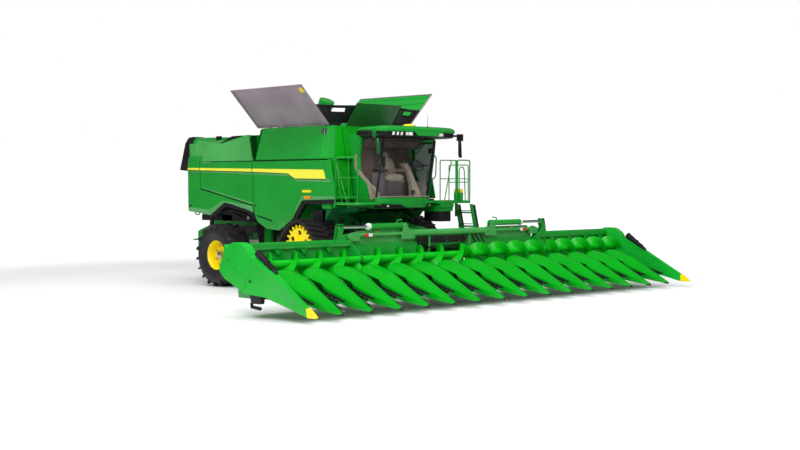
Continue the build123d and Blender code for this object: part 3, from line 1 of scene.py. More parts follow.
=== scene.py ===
import bpy
import bmesh
import json
from math import copysign, cos, exp, hypot, pi, radians, sin
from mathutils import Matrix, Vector


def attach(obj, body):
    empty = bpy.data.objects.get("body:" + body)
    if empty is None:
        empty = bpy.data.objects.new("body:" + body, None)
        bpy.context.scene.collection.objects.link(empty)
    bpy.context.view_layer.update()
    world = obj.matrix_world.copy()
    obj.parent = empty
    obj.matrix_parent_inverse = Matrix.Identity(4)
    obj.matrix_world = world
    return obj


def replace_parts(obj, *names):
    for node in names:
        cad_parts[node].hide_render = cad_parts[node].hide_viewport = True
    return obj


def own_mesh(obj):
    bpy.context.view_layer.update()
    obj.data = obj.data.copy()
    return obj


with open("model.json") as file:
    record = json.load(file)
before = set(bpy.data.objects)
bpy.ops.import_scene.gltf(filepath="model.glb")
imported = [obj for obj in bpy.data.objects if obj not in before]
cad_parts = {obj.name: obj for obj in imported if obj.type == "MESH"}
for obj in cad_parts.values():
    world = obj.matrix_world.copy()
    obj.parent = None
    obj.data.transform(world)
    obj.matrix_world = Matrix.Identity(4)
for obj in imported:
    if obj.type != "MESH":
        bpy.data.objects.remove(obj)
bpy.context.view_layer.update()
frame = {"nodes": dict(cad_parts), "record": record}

# A tracked combine harvester with a folding sixteen-row corn header.
# Metres, in the machine's frame: +X is its left side, -Y is forward, +Z is up.

# ---------------------------------------------------------------- camera
scene = bpy.context.scene
camera_data = bpy.data.cameras.new("camera")
camera_data.lens = 56.085
camera_data.sensor_width = 36
camera_data.clip_end = 300
camera = bpy.data.objects.new("camera", camera_data)
camera.location = (-20.61, -24.33, 2.538)
camera.rotation_euler = (radians(88.149), 0, radians(-44.77))
scene.collection.objects.link(camera)
scene.camera = camera
scene.view_settings.view_transform = "Standard"

# ---------------------------------------------------------------- materials

def node_material(name):
    """A material with its shader and its object coordinates."""
    material = bpy.data.materials.new(name)
    material.use_nodes = True
    tree = material.node_tree
    shader = tree.nodes["Principled BSDF"]
    place = tree.nodes.new("ShaderNodeTexCoord")
    return material, tree, shader, place


def noise(tree, place, scale, detail=4.0, stretch=(1, 1, 1)):
    """A noise texture over the object's own coordinates."""
    mapping = tree.nodes.new("ShaderNodeMapping")
    mapping.inputs["Scale"].default_value = stretch
    texture = tree.nodes.new("ShaderNodeTexNoise")
    texture.inputs["Scale"].default_value = scale
    texture.inputs["Detail"].default_value = detail
    tree.links.new(place.outputs["Object"], mapping.inputs["Vector"])
    tree.links.new(mapping.outputs["Vector"], texture.inputs["Vector"])
    return texture.outputs["Fac"]


def ramp(tree, value, low, high, start=0.3, end=0.7):
    """A colour ramp between two colours."""
    colours = tree.nodes.new("ShaderNodeValToRGB")
    colours.color_ramp.elements[0].position = start
    colours.color_ramp.elements[1].position = end
    colours.color_ramp.elements[0].color = (*low, 1)
    colours.color_ramp.elements[1].color = (*high, 1)
    tree.links.new(value, colours.inputs["Fac"])
    return colours.outputs["Color"]


def grey(tree, value, low, high, start=0.3, end=0.7):
    """A ramp between two grey levels, for roughness."""
    return ramp(tree, value, (low,) * 3, (high,) * 3, start, end)


def bump(tree, shader, height, distance, strength=1.0):
    """A bump from a height, on the shader's normal."""
    lift = tree.nodes.new("ShaderNodeBump")
    lift.inputs["Distance"].default_value = distance
    lift.inputs["Strength"].default_value = strength
    tree.links.new(height, lift.inputs["Height"])
    tree.links.new(lift.outputs["Normal"], shader.inputs["Normal"])


def finish_surface(name, low, high, rough, bump_scale, bump_size, **sockets):
    """Colour that drifts between two tones, roughness that drifts with it, and a fine bump."""
    material, tree, shader, place = node_material(name)
    drift = noise(tree, place, 1.3, 5)
    tree.links.new(ramp(tree, drift, low, high), shader.inputs["Base Color"])
    fine = noise(tree, place, 38, 3)
    tree.links.new(grey(tree, fine, rough[0], rough[1]), shader.inputs["Roughness"])
    bump(tree, shader, noise(tree, place, bump_scale, 2), bump_size)
    for socket, value in sockets.items():
        shader.inputs[socket.replace("_", " ")].default_value = value
    return material


def tone(colour, factor):
    """A lighter or darker version of a colour."""
    return tuple(min(1.0, channel * factor) for channel in colour)


GREEN = (0.006, 0.316, 0.028)
LEAF = (0.0, 0.345, 0.008)
YELLOW = (0.93, 0.72, 0.004)
# The charcoal is far paler and more purple than the covers' own near-black skin: painted reflection and sheen.
CHARCOAL_SHEEN = (0.285, 0.222, 0.270)
BLACK = (0.008, 0.007, 0.009)

green_paint = finish_surface(
    "green_paint", tone(GREEN, 0.92), tone(GREEN, 1.08), (0.22, 0.30), 9, 0.0005, Coat_Weight=0.7,
    Coat_Roughness=0.08, Specular_IOR_Level=0.45
)
# The dark green below is painted shade: it darkens the strip under the side stripe, the door gaps, the pull slot and
# the tank's seams; the front latch uses it too.
painted_shade_green = finish_surface(
    "painted_shade_green", (0.001, 0.028, 0.004), (0.002, 0.050, 0.007), (0.45, 0.60), 30, 0.0005, Specular_IOR_Level=0.2
)
dark_leaf = finish_surface(
    "dark_leaf", (0.002, 0.135, 0.030), (0.004, 0.175, 0.042), (0.25, 0.33), 10, 0.0005, Specular_IOR_Level=0.3
)
# A paler, whiter copy of the green paint for the rear hood and the header's back panels and tube: painted reflection
# haze.
sheen_painted_green = finish_surface(
    "sheen_painted_green", (0.050, 0.340, 0.070), (0.066, 0.400, 0.090), (0.25, 0.33), 9, 0.0005, Coat_Weight=0.5,
    Coat_Roughness=0.1
)
mat_grey = finish_surface("mat_grey", (0.105, 0.085, 0.100), (0.19, 0.155, 0.175), (0.6, 0.75), 80, 0.0008)
brown_lining = finish_surface("brown_lining", (0.105, 0.070, 0.060), (0.165, 0.115, 0.100), (0.65, 0.8), 60, 0.0008)
flap_sheet = finish_surface(
    "flap_sheet", (0.020, 0.110, 0.030), (0.034, 0.165, 0.046), (0.28, 0.38), 8, 0.0006, Coat_Weight=0.1,
    Specular_IOR_Level=0.5
)
leaf_paint = finish_surface(
    "leaf_paint", (0.004, 0.385, 0.026), (0.007, 0.440, 0.034), (0.26, 0.34), 9, 0.0005, Coat_Weight=0.1,
    Specular_IOR_Level=0.25
)
leaf_plastic = finish_surface(
    "leaf_plastic", tone(LEAF, 0.92), tone(LEAF, 1.08), (0.16, 0.22), 14, 0.0004, Coat_Weight=0.35,
    Coat_Roughness=0.05, Specular_IOR_Level=0.12
)
yellow_paint = finish_surface(
    "yellow_paint", tone(YELLOW, 0.93), tone(YELLOW, 1.04), (0.28, 0.38), 12, 0.0005, Coat_Weight=0.2,
    Specular_IOR_Level=0.35
)
stripe_yellow = finish_surface(
    "stripe_yellow", (0.88, 0.84, 0.058), (0.95, 0.90, 0.072), (0.28, 0.38), 12, 0.0005, Coat_Weight=0.2
)
# A copy of the green paint without coat, more saturated, for the faces that look forward: painted light.
front_lit_green = finish_surface(
    "front_lit_green", (0.0, 0.305, 0.003), (0.001, 0.350, 0.006), (0.35, 0.45), 9, 0.0005, Specular_IOR_Level=0.15
)
# The augers' green is the green paint made about 1.8 times brighter: painted light.
auger_lit_green = finish_surface(
    "auger_lit_green", (0.002, 0.440, 0.008), (0.004, 0.520, 0.014), (0.28, 0.36), 9, 0.0005, Specular_IOR_Level=0.25
)
# This groove green is painted shade, for the sheets in the hood's creases and gap.
crease_shade_green = finish_surface(
    "crease_shade_green", (0.001, 0.105, 0.006), (0.002, 0.140, 0.010), (0.4, 0.5), 9, 0.0005, Specular_IOR_Level=0.1
)
# Sheet material in that charcoal, so it carries the painted reflection and sheen.
sheen_charcoal = finish_surface(
    "sheen_charcoal", tone(CHARCOAL_SHEEN, 0.8), tone(CHARCOAL_SHEEN, 1.2), (0.34, 0.44), 8, 0.0008, Coat_Weight=0.1,
    Specular_IOR_Level=0.45
)
black_plastic = finish_surface(
    "black_plastic", tone(BLACK, 0.8), tone(BLACK, 1.7), (0.40, 0.55), 60, 0.0004, Specular_IOR_Level=0.4
)
rubber = finish_surface(
    "rubber", (0.010, 0.009, 0.010), (0.024, 0.021, 0.023), (0.52, 0.70), 42, 0.0014, Specular_IOR_Level=0.4
)
tyre_rubber = finish_surface("tyre_rubber", (0.009, 0.008, 0.010), (0.021, 0.018, 0.022), (0.44, 0.62), 36, 0.0012)
iron = finish_surface("iron", (0.030, 0.031, 0.034), (0.075, 0.074, 0.078), (0.45, 0.62), 22, 0.0012, Metallic=0.6)
steel = finish_surface("steel", (0.42, 0.43, 0.45), (0.58, 0.59, 0.61), (0.26, 0.38), 60, 0.0003, Metallic=1.0)
chrome = finish_surface("chrome", (0.80, 0.81, 0.83), (0.88, 0.89, 0.91), (0.06, 0.12), 40, 0.0002, Metallic=1.0)
trim = finish_surface("trim", (0.25, 0.19, 0.15), (0.37, 0.30, 0.24), (0.62, 0.78), 90, 0.0008, Sheen_Weight=0.2)
red_lens = finish_surface(
    "red_lens", (0.62, 0.030, 0.015), (0.78, 0.050, 0.020), (0.15, 0.25), 130, 0.0010, Coat_Weight=0.6
)
amber_lens = finish_surface(
    "amber_lens", (0.80, 0.25, 0.010), (0.95, 0.36, 0.015), (0.15, 0.25), 130, 0.0010, Coat_Weight=0.6
)
white_lens = finish_surface(
    "white_lens", (0.78, 0.79, 0.80), (0.90, 0.90, 0.91), (0.18, 0.30), 130, 0.0008, Coat_Weight=0.5
)


def make_glass(name, low, high, clear):
    """Glass with faint smears; clear is how much light it lets through."""
    material, tree, shader, place = node_material(name)
    smear = noise(tree, place, 3, 3)
    tree.links.new(ramp(tree, smear, low, high), shader.inputs["Base Color"])
    tree.links.new(grey(tree, smear, 0.0, 0.03), shader.inputs["Roughness"])
    shader.inputs["Transmission Weight"].default_value = clear
    shader.inputs["IOR"].default_value = 1.08
    return material


glass = make_glass("cab_glass", (0.80, 0.84, 0.84), (0.90, 0.93, 0.93), 1.0)
# The pale glass is half clear and greyish: painted reflection of the bright surroundings, used on the door's pane.
reflection_painted_glass = make_glass("reflection_painted_glass", (0.70, 0.68, 0.74), (0.78, 0.76, 0.82), 0.45)

BY_SLOT = {
    "green": green_paint,
    "green_plastic": leaf_plastic,
    "yellow": yellow_paint,
    "charcoal": sheen_charcoal,
    "black": black_plastic,
    "chrome": chrome,
    "iron": iron,
    "glass": glass,
    "rubber": rubber,
    "tyre": tyre_rubber,
    "trim": trim,
}
for subpart in frame["record"]["subparts"]:
    node = frame["nodes"][subpart["node"]]
    node.data.materials.clear()
    node.data.materials.append(BY_SLOT[subpart["material_slot"]])

# ---------------------------------------------------------------- shapes

class Shape:
    """A mesh under construction, in metres in the machine's frame."""

    def __init__(self):
        self.mesh = bmesh.new()

    def skin(self, rings, closed=True, caps=True):
        """Faces between rings of points, each ring as long as the next."""
        loops = [[self.mesh.verts.new(point) for point in ring] for ring in rings]
        count = len(loops[0])
        for first, second in zip(loops, loops[1:]):
            for n in range(count if closed else count - 1):
                m = (n + 1) % count
                self.mesh.faces.new((first[n], first[m], second[m], second[n]))
        if caps and closed:
            self.mesh.faces.new(loops[0][::-1])
            self.mesh.faces.new(loops[-1])
        return self

    def prism(self, axis, outline, low, high):
        """A prism along an axis (0, 1 or 2), on an outline in the other two axes."""
        rings = []
        for value in (low, high):
            rings.append([point[:axis] + (value,) + point[axis:] for point in outline])
        return self.skin(rings)

    def box(self, x, y, z):
        """A box from its (low, high) along each axis."""
        outline = [(x[0], y[0]), (x[1], y[0]), (x[1], y[1]), (x[0], y[1])]
        return self.prism(2, outline, z[0], z[1])

    def slab(self, axis, outline, radii, low, high, steps=4):
        """A prism whose outline has rounded corners."""
        return self.prism(axis, rounded(outline, radii, steps), low, high)

    def pipe(self, points, bend, radius, sides, steps=5):
        """A round tube along a line whose corners are rounded."""
        return self.tube(bent(points, bend, steps), radius, sides)

    def stack(self, x, y, radius, levels):
        """Level rounded rectangles, each at a z and drawn in by a distance, joined into one form."""
        rings = []
        for z, draw in levels:
            outline = rectangle((x[0] + draw, x[1] - draw), (y[0] + draw, y[1] - draw))
            rings.append([(*point, z) for point in rounded(outline, radius)])
        return self.skin(rings)

    def tube(self, points, radius, sides=12):
        """A round tube along a line of points; the radius may be a list, one a point."""
        points = [Vector(point) for point in points]
        radii = radius if isinstance(radius, (list, tuple)) else [radius] * len(points)
        side = None
        rings = []
        for n, point in enumerate(points):
            before = points[max(n - 1, 0)]
            after = points[min(n + 1, len(points) - 1)]
            along = (after - before).normalized()
            if side is None:
                side = along.orthogonal().normalized()
            side = (side - along * side.dot(along)).normalized()
            up = along.cross(side)
            turns = [2 * pi * k / sides for k in range(sides)]
            rings.append([point + (side * cos(a) + up * sin(a)) * radii[n] for a in turns])
        return self.skin(rings)

    def lathe(self, centre, axis, profile, steps=48, closed=True):
        """A turned form: the profile is (distance along the axis, radius)."""
        rings = []
        for k in range(steps):
            a = 2 * pi * k / steps
            ring = []
            for along, radius in profile:
                point = [radius * cos(a), radius * sin(a)]
                point.insert(axis, along)
                ring.append(Vector(centre) + Vector(point))
            rings.append(ring)
        rings.append(rings[0])
        self.skin(rings, closed=closed, caps=False)
        bmesh.ops.remove_doubles(self.mesh, verts=self.mesh.verts, dist=0.00001)
        return self


def bent(points, radius, steps=5):
    """The points of a line whose corners are rounded."""
    points = [Vector(point) for point in points]
    line = [points[0]]
    for before, corner, after in zip(points, points[1:], points[2:]):
        start = corner + (before - corner).normalized() * radius
        end = corner + (after - corner).normalized() * radius
        for k in range(steps + 1):
            t = k / steps
            line.append(start * (1 - t) ** 2 + corner * 2 * t * (1 - t) + end * t * t)
    line.append(points[-1])
    return line


def flip(side, points):
    """Points whose first number is a distance from the middle, put on one side."""
    return [(side * first, *rest) for first, *rest in points]


def rectangle(across, along):
    """A rectangle's corners, from its (start, end) in each of two axes."""
    (a, c), (b, d) = across, along
    return [(a, b), (c, b), (c, d), (a, d)]


def ring_of(centre, reach, count, start=0.0):
    """Flat points spaced evenly round a centre."""
    turns = [2 * pi * (k + start) / count for k in range(count)]
    return [(centre[0] + reach * cos(a), centre[1] + reach * sin(a)) for a in turns]


def rounded(outline, radii, steps=4):
    """A closed flat outline whose corners are rounded, each by its own radius."""
    count = len(outline)
    line = []
    for n, corner in enumerate(outline):
        corner = Vector(corner)
        radius = radii[n] if isinstance(radii, (list, tuple)) else radii
        if radius <= 0:
            line.append(tuple(corner))
            continue
        before = Vector(outline[n - 1])
        after = Vector(outline[(n + 1) % count])
        start = corner + (before - corner).normalized() * radius
        end = corner + (after - corner).normalized() * radius
        for k in range(steps + 1):
            t = k / steps
            line.append(tuple(start * (1 - t) ** 2 + corner * 2 * t * (1 - t) + end * t * t))
    return line


def mesh_object(name, shape):
    """An object made from a shape, which is then used up."""
    bmesh.ops.recalc_face_normals(shape.mesh, faces=shape.mesh.faces)
    mesh = bpy.data.meshes.new(name)
    shape.mesh.to_mesh(mesh)
    shape.mesh.free()
    thing = bpy.data.objects.new(name, mesh)
    scene.collection.objects.link(thing)
    return thing


def piece(name, shape, material, body="machine", bevel=0.0, smooth=38, cutter=None, segments=2):
    """A finished piece: cut, bevelled, smooth-shaded, with its material, on its body."""
    thing = mesh_object(name, shape)
    if cutter is not None:
        tool = mesh_object(name + "_cutter", cutter)
        cut = thing.modifiers.new("cut", "BOOLEAN")
        cut.operation = "DIFFERENCE"
        cut.solver = "EXACT"
        cut.object = tool
        settle(thing)
        bpy.data.objects.remove(tool)
    thing.data.shade_smooth()
    if bevel:
        edges = thing.modifiers.new("edges", "BEVEL")
        edges.width = bevel
        edges.segments = segments
        edges.limit_method = "ANGLE"
        edges.angle_limit = radians(smooth)
        edges.harden_normals = True
        settle(thing)
    else:
        thing.data.set_sharp_from_angle(angle=radians(smooth))
    thing.data.materials.clear()
    thing.data.materials.append(material)
    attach(thing, body)
    return thing


def settle(thing):
    """Applies an object's modifiers to its mesh."""
    bpy.context.view_layer.update()
    settled = bpy.data.meshes.new_from_object(thing.evaluated_get(bpy.context.evaluated_depsgraph_get()))
    thing.modifiers.clear()
    thing.data = settled


def span(side, inner, outer):
    """The (low, high) of x between two distances from the middle, on one side."""
    return tuple(sorted((side * inner, side * outer)))


SIDES = (("left", 1), ("right", -1))

# ---------------------------------------------------------------- corn header
ROW = 0.762
WING_X = 3.04
SECTION_GAP = 0.012
HEADER_END = 5.905
AUGER = (-5.44, 0.985)
AUGER_TUBE = 0.08
FLIGHT = 0.25
PITCH = 0.64
FLIGHT_STEPS = 28  # to a turn of the flight
FOLD_X, FOLD_Z = 3.04, 1.45  # the wings' fold pins
CYLINDER_Y, CYLINDER_Z = -5.12, 1.65  # the fold cylinders' line
SHELL_X = 6.098  # the dividers' outer face
BEAM_Y = -5.11
FRAME_FRONT = -5.76
SECTIONS = (
    ("center", "feeder", -WING_X + SECTION_GAP, WING_X - SECTION_GAP),
    ("left", "header_left_wing", WING_X + SECTION_GAP, HEADER_END),
    ("right", "header_right_wing", -HEADER_END, -WING_X - SECTION_GAP),
)

# Sections of a snout's nose: y, crest, half width, z of the widest line, z of the belly
NOSE = (
    (-7.425, 0.192, 0.018, 0.172, 0.146),
    (-7.30, 0.262, 0.058, 0.214, 0.158),
    (-7.10, 0.366, 0.116, 0.288, 0.186),
    (-6.90, 0.470, 0.166, 0.362, 0.224),
    (-6.70, 0.574, 0.214, 0.438, 0.270),
    (-6.56, 0.650, 0.250, 0.496, 0.316),
    (-6.46, 0.704, 0.274, 0.546, 0.392),
    (-6.38, 0.748, 0.292, 0.590, 0.476),
    (-6.335, 0.768, 0.300, 0.622, 0.560),
    (-6.325, 0.764, 0.297, 0.624, 0.575),
)
# Sections of the hood behind it: y, half width, base, top
HOOD = (
    (-6.42, 0.235, 0.580, 0.690),
    (-6.33, 0.275, 0.620, 0.730),
    (-6.22, 0.312, 0.660, 0.786),
    (-6.05, 0.330, 0.708, 0.850),
    (-5.90, 0.328, 0.756, 0.890),
    (-5.80, 0.306, 0.790, 0.906),
    (-5.74, 0.262, 0.814, 0.909),
    (-5.70, 0.170, 0.840, 0.900),
)


def mirrored(half_ring, x):
    """A whole ring from the half at +x, whose points are (x, y, z) about a middle."""
    left = [(x + p[0], p[1], p[2]) for p in half_ring]
    right = [(x - p[0], p[1], p[2]) for p in reversed(half_ring) if p[0] > 0]
    return left + right


def nose(shape, x):
    """The deep pointed front of a snout, with a raised band along its crest."""
    rings = []
    for y, crest, half, wide, belly in NOSE:
        rise = crest - wide
        drop = wide - belly
        ring = [(0, y, crest), (half * 0.16, y, crest - 0.06 * rise), (half * 0.20, y, crest - 0.06 * rise - 0.010)]
        for u, fall in ((0.36, 0.17), (0.54, 0.34), (0.70, 0.52), (0.84, 0.72), (0.94, 0.88)):
            ring.append((half * u, y, crest - rise * fall))
        ring += [
            (half, y, wide),
            (half * 0.99, y, wide - 0.4 * drop),
            (half * 0.93, y, wide - 0.78 * drop),
            (half * 0.80, y, belly),
            (0, y, belly + 0.004),
        ]
        rings.append(mirrored(ring, x))
    shape.skin(rings)


def hood(shape, x):
    """The broad shallow rear of a snout: a crown inside a steeper skirt."""
    rings = []
    for y, half, base, top in HOOD:
        rise = top - base
        ring = [(0, y, top)]
        for u in (0.22, 0.42, 0.60, 0.74):
            ring.append((half * u, y, top - rise * 0.42 * (u / 0.74) ** 2))
        ring += [
            (half * 0.90, y, base + rise * 0.30), (half, y, base + rise * 0.06), (half * 0.985, y, base), (0, y, base)
        ]
        rings.append(mirrored(ring, x))
    shape.skin(rings)


def tip_cap(shape, x):
    """The small wear cap under a snout's tip."""
    rings = []
    for y, half, low, high in (
        (-7.33, 0.034, 0.138, 0.170), (-7.43, 0.021, 0.132, 0.176), (-7.462, 0.008, 0.134, 0.152)
    ):
        rings.append([(x + half, y, low), (x + half, y, high), (x - half, y, high), (x - half, y, low)])
    shape.skin(rings)


def row_unit(deck, rolls, chains, x):
    """Deck plates, fluted stalk rolls, gearbox and gathering chains of one row."""
    for side in (-1, 1):
        low, high = sorted((x + side * 0.018, x + side * 0.105))
        deck.prism(0, [(-6.95, 0.290), (-5.78, 0.610), (-5.78, 0.626), (-6.95, 0.306)], low, high)
        start = Vector((x + side * 0.062, -6.05, 0.430))
        end = Vector((x + side * 0.062, -6.86, 0.195))
        along = (end - start).normalized()
        up = Vector((1, 0, 0)).cross(along)
        rings = []
        for centre, size in ((start, 1.0), (end, 1.0), (end + along * 0.14, 0.25)):
            ring = []
            for k in range(16):
                a = 2 * pi * k / 16
                radius = (0.042 if k % 2 else 0.029) * size
                ring.append(centre + (Vector((1, 0, 0)) * cos(a) + up * sin(a)) * radius)
            rings.append(ring)
        rolls.skin(rings)
        # A gathering chain on its guide, with lugs over the slot
        guide = x + side * 0.085
        chains.prism(0, [(-6.98, 0.318), (-6.02, 0.580), (-6.02, 0.612), (-6.98, 0.350)], guide - 0.02, guide + 0.02)
        for k in range(8):
            y = -6.94 + k * 0.115
            z = 0.340 + (y + 6.94) * 0.273
            chains.box(tuple(sorted((guide, guide - side * 0.065))), (y, y + 0.018), (z, z + 0.034))
    chains.prism(0, rectangle((-6.11, -5.762), (0.37, 0.56)), x - 0.15, x + 0.15)
    chains.tube([(x, -6.11, 0.455), (x, -6.15, 0.455)], 0.06, 16)


def auger_flight(shape, low, high, hand):
    """A helical blade on the auger's tube."""
    start, end = low + 0.03, high - 0.03
    steps = int((end - start) / PITCH * FLIGHT_STEPS)
    blade = []
    for k in range(steps + 1):
        x = start + (end - start) * k / steps
        a = hand * 2 * pi * ((x - start) / PITCH + (0.35 if hand < 0 else 0.0))
        out = Vector((0, -sin(a), cos(a)))
        centre = Vector((x, AUGER[0], AUGER[1]))
        lift = FLIGHT - 0.02 * (1 if k in (0, steps) else 0)
        ring = []
        for across, radius in (
            (-0.006, AUGER_TUBE - 0.01), (-0.005, lift), (0.005, lift), (0.006, AUGER_TUBE - 0.01)
        ):
            ring.append(centre + out * radius + Vector((across, 0, 0)))
        blade.append(ring)
    shape.skin(blade)


def trough_outline():
    """The frame's section: back sheet, round trough and floor box, as (y, z)."""
    reach = FLIGHT + 0.045
    line = [(BEAM_Y + 0.04, 0.40), (BEAM_Y + 0.04, 1.30), (BEAM_Y - 0.01, 1.30)]
    for k in range(11):
        a = radians(-12 - k * 10.5)
        line.append((AUGER[0] + reach * cos(a), AUGER[1] + reach * sin(a)))
    line += [(FRAME_FRONT + 0.02, 0.690), (FRAME_FRONT, 0.670), (FRAME_FRONT, 0.40)]
    return line


snout_xs = [ROW * number for number in range(-7, 8)]
row_xs = [ROW * (number - 7.5) for number in range(16)]
for section, body, low_x, high_x in SECTIONS:
    noses, hoods, tips = Shape(), Shape(), Shape()
    for x in snout_xs:
        if low_x - 0.05 < x < high_x + 0.05 and (section == "center") == (abs(x) < WING_X - 0.1):
            nose(noses, x)
            hood(hoods, x)
            tip_cap(tips, x)
    snouts = piece(f"snout_noses_{section}", noses, leaf_plastic, body, smooth=32)
    piece(f"snout_hoods_{section}", hoods, leaf_plastic, body, smooth=16)
    piece(f"snout_tips_{section}", tips, black_plastic, body, smooth=50)
    decks, rolls, chains = Shape(), Shape(), Shape()
    for x in row_xs:
        if low_x < x < high_x:
            row_unit(decks, rolls, chains, x)
    piece(f"deck_plates_{section}", decks, green_paint, body, bevel=0.002)
    piece(f"stalk_rolls_{section}", rolls, steel, body, smooth=20)
    piece(f"gathering_chains_{section}", chains, black_plastic, body, bevel=0.003)
    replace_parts(snouts, f"header_{section}_rows")

for name, body, low_x, high_x, hand, shaft in (
    ("center_right", "auger_center", -2.993, 0.0, -1, (-3.028, 0)),
    ("center_left", "auger_center", 0.0, 2.993, 1, (0, 3.028)),
    ("left", "auger_left", 3.087, 5.89, 1, (3.052, 5.93)),
    ("right", "auger_right", -5.89, -3.087, -1, (-5.93, -3.052)),
):
    screw = Shape()
    auger_flight(screw, low_x, high_x, hand)
    screw.tube([(low_x, *AUGER), (high_x, *AUGER)], AUGER_TUBE, 32)
    screw.tube([(shaft[0], *AUGER), (shaft[1], *AUGER)], 0.03, 16)
    auger = piece(f"auger_screw_{name}", screw, auger_lit_green, body, smooth=35)
    if name != "center_left":
        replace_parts(auger, {"center_right": "header_center_auger"}.get(name, f"header_{name}_auger"))


def bolts(shape, places, axis, radius=0.012, height=0.008):
    """Hexagonal bolt heads at places, standing along an axis (0, 1 or 2) in its sign."""
    for place in places:
        step = [0.0, 0.0, 0.0]
        step[abs(axis) - 1] = copysign(height, axis)
        shape.tube([place, tuple(p + s for p, s in zip(place, step))], radius, 6)


def hanger(shape, x):
    """The arm that comes down from the beam to an auger's shaft."""
    shape.slab(0, [
        (BEAM_Y - 0.06, 1.33), (BEAM_Y + 0.03, 1.33), (BEAM_Y + 0.03, 1.12), (AUGER[0] + 0.06, 0.925),
        (AUGER[0] - 0.06, 0.925), (AUGER[0] - 0.06, 1.045)
    ], [0.02, 0.02, 0.05, 0.05, 0.05, 0.05], x[0], x[1])


# The wings' and the centre's sheets, ribs and beams
for section, body, low_x, high_x in SECTIONS:
    sheet = Shape()
    sheet.prism(0, trough_outline(), low_x, high_x)
    cutter = None
    if section == "center":
        cutter = Shape().box((-0.62, 0.62), (-5.30, -5.0), (0.70, 1.20))
    trough = piece(f"header_trough_{section}", sheet, green_paint, body, smooth=30, cutter=cutter)
    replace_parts(trough, f"header_{section}_frame")
    ribs = Shape()
    count = 8 if section == "center" else 5
    for k in range(count):
        x = low_x + 0.06 + (high_x - low_x - 0.12) * k / (count - 1)
        if section == "center" and abs(x) < 0.8:
            continue
        ribs.slab(
            0, [(-5.07, 0.42), (-5.07, 1.29), (-5.035, 1.24), (-5.02, 0.50)], 0.012, x - 0.03, x + 0.03, steps=2
        )
    ribs.slab(0, rectangle((-5.75, -5.07), (0.40, 0.36)), 0.015, low_x, high_x, steps=2)
    if section == "center":
        for side in (-1, 1):
            hanger(ribs, span(side, 3.008, 3.028))
    else:
        side = 1 if section == "left" else -1
        hanger(ribs, span(side, 3.052, 3.072))
    piece(f"header_ribs_{section}", ribs, green_paint, body, bevel=0.004)

for name, side in SIDES:
    body = f"header_{name}_wing"
    beam = Shape()
    beam.slab(0, rectangle((-5.19, -5.035), (1.255, 1.385)), 0.02, *span(side, 3.052, 5.90), steps=3)
    beam.slab(0, rectangle((-5.13, -5.035), (1.38, 1.40)), 0.008, *span(side, 3.09, 5.90), steps=2)
    for x in (3.66, 4.335, 5.01, 5.62):
        beam.prism(1, [
            (side * x - 0.095, 1.250), (side * x + 0.095, 1.250), (side * x + 0.02, 1.150), (side * x - 0.02, 1.150)
        ], -5.192, -5.178)
    piece(f"header_wing_beam_{name}", beam, green_paint, body, bevel=0.004)
    # Outer half of the fold hinge and the arm that the fold cylinder pushes
    arm = Shape()
    knuckle = [
        (side * (FOLD_X + 0.062 * cos(a)), FOLD_Z + 0.062 * sin(a)) for a in [radians(60 + 20 * k) for k in range(13)]
    ]
    arm.prism(1, knuckle + flip(side, [(3.20, 1.36), (3.24, 1.40), (3.13, 1.49)]), -5.107, -5.037)
    for y in (-5.18, -5.08):
        arm.slab(1, flip(side, [
            (3.12, 1.36), (3.44, 1.36), (3.415, 1.50), (3.385, 1.66), (3.36, 1.725), (3.255, 1.725), (3.235, 1.64),
            (3.30, 1.50)
        ]), [0.01, 0.02, 0.06, 0.05, 0.05, 0.05, 0.05, 0.08], y, y + 0.02)
    arm.tube(flip(side, [(3.3, -5.19, 1.65), (3.3, -5.05, 1.65)]), 0.03, 20)
    piece(f"fold_arm_{name}", arm, green_paint, body, bevel=0.005)

# Centre: the tube over the opening, the back panels, the hinges and the cylinders' brackets
centre = Shape()
centre.tube([(-1.30, -5.13, 1.478), (1.30, -5.13, 1.478)], 0.076, 28)
centre.tube([(-2.98, -5.13, 1.478), (-1.30, -5.13, 1.478)], 0.043, 20)
centre.tube([(1.30, -5.13, 1.478), (2.98, -5.13, 1.478)], 0.043, 20)
centre.slab(0, rectangle((-5.07, -4.98), (1.29, 1.42)), 0.015, -2.98, 2.98, steps=2)
for side in (-1, 1):
    centre.slab(1, flip(
        side, [(1.16, 1.36), (1.58, 1.36), (1.54, 1.50), (1.50, 1.71), (1.40, 1.71), (1.36, 1.58), (1.16, 1.56)]
    ), [0.02, 0.02, 0.06, 0.045, 0.045, 0.06, 0.03], -5.195, -5.17)
    centre.slab(
        1, flip(side, [(1.36, 1.36), (1.58, 1.36), (1.54, 1.50), (1.50, 1.71), (1.40, 1.71)]),
        [0.02, 0.02, 0.06, 0.045, 0.045], -5.07, -5.045
    )
    centre.tube(flip(side, [(1.46, -5.20, 1.65), (1.46, -5.04, 1.65)]), 0.032, 20)
    centre.prism(1, flip(side, [(2.80, 1.36), (3.02, 1.36)]) + [
        (side * (FOLD_X + 0.07 * sin(a)), FOLD_Z - 0.07 * cos(a)) for a in [radians(20 * k) for k in range(10)]
    ] + flip(side, [(2.93, 1.55), (2.80, 1.50)]), -5.185, -5.117)
    centre.tube(flip(side, [(FOLD_X, -5.20, FOLD_Z), (FOLD_X, -5.03, FOLD_Z)]), 0.025, 16)
    centre.box(span(side, 0.64, 0.70), (-5.16, -5.05), (0.46, 1.42))
    centre.box(span(side, 0.55, 0.64), (-5.0, -4.886), (0.56, 1.42))
centre.box((-0.64, 0.64), (-5.0, -4.886), (1.21, 1.42))
centre.box((-0.76, 0.76), (-4.915, -4.886), (0.52, 0.66))
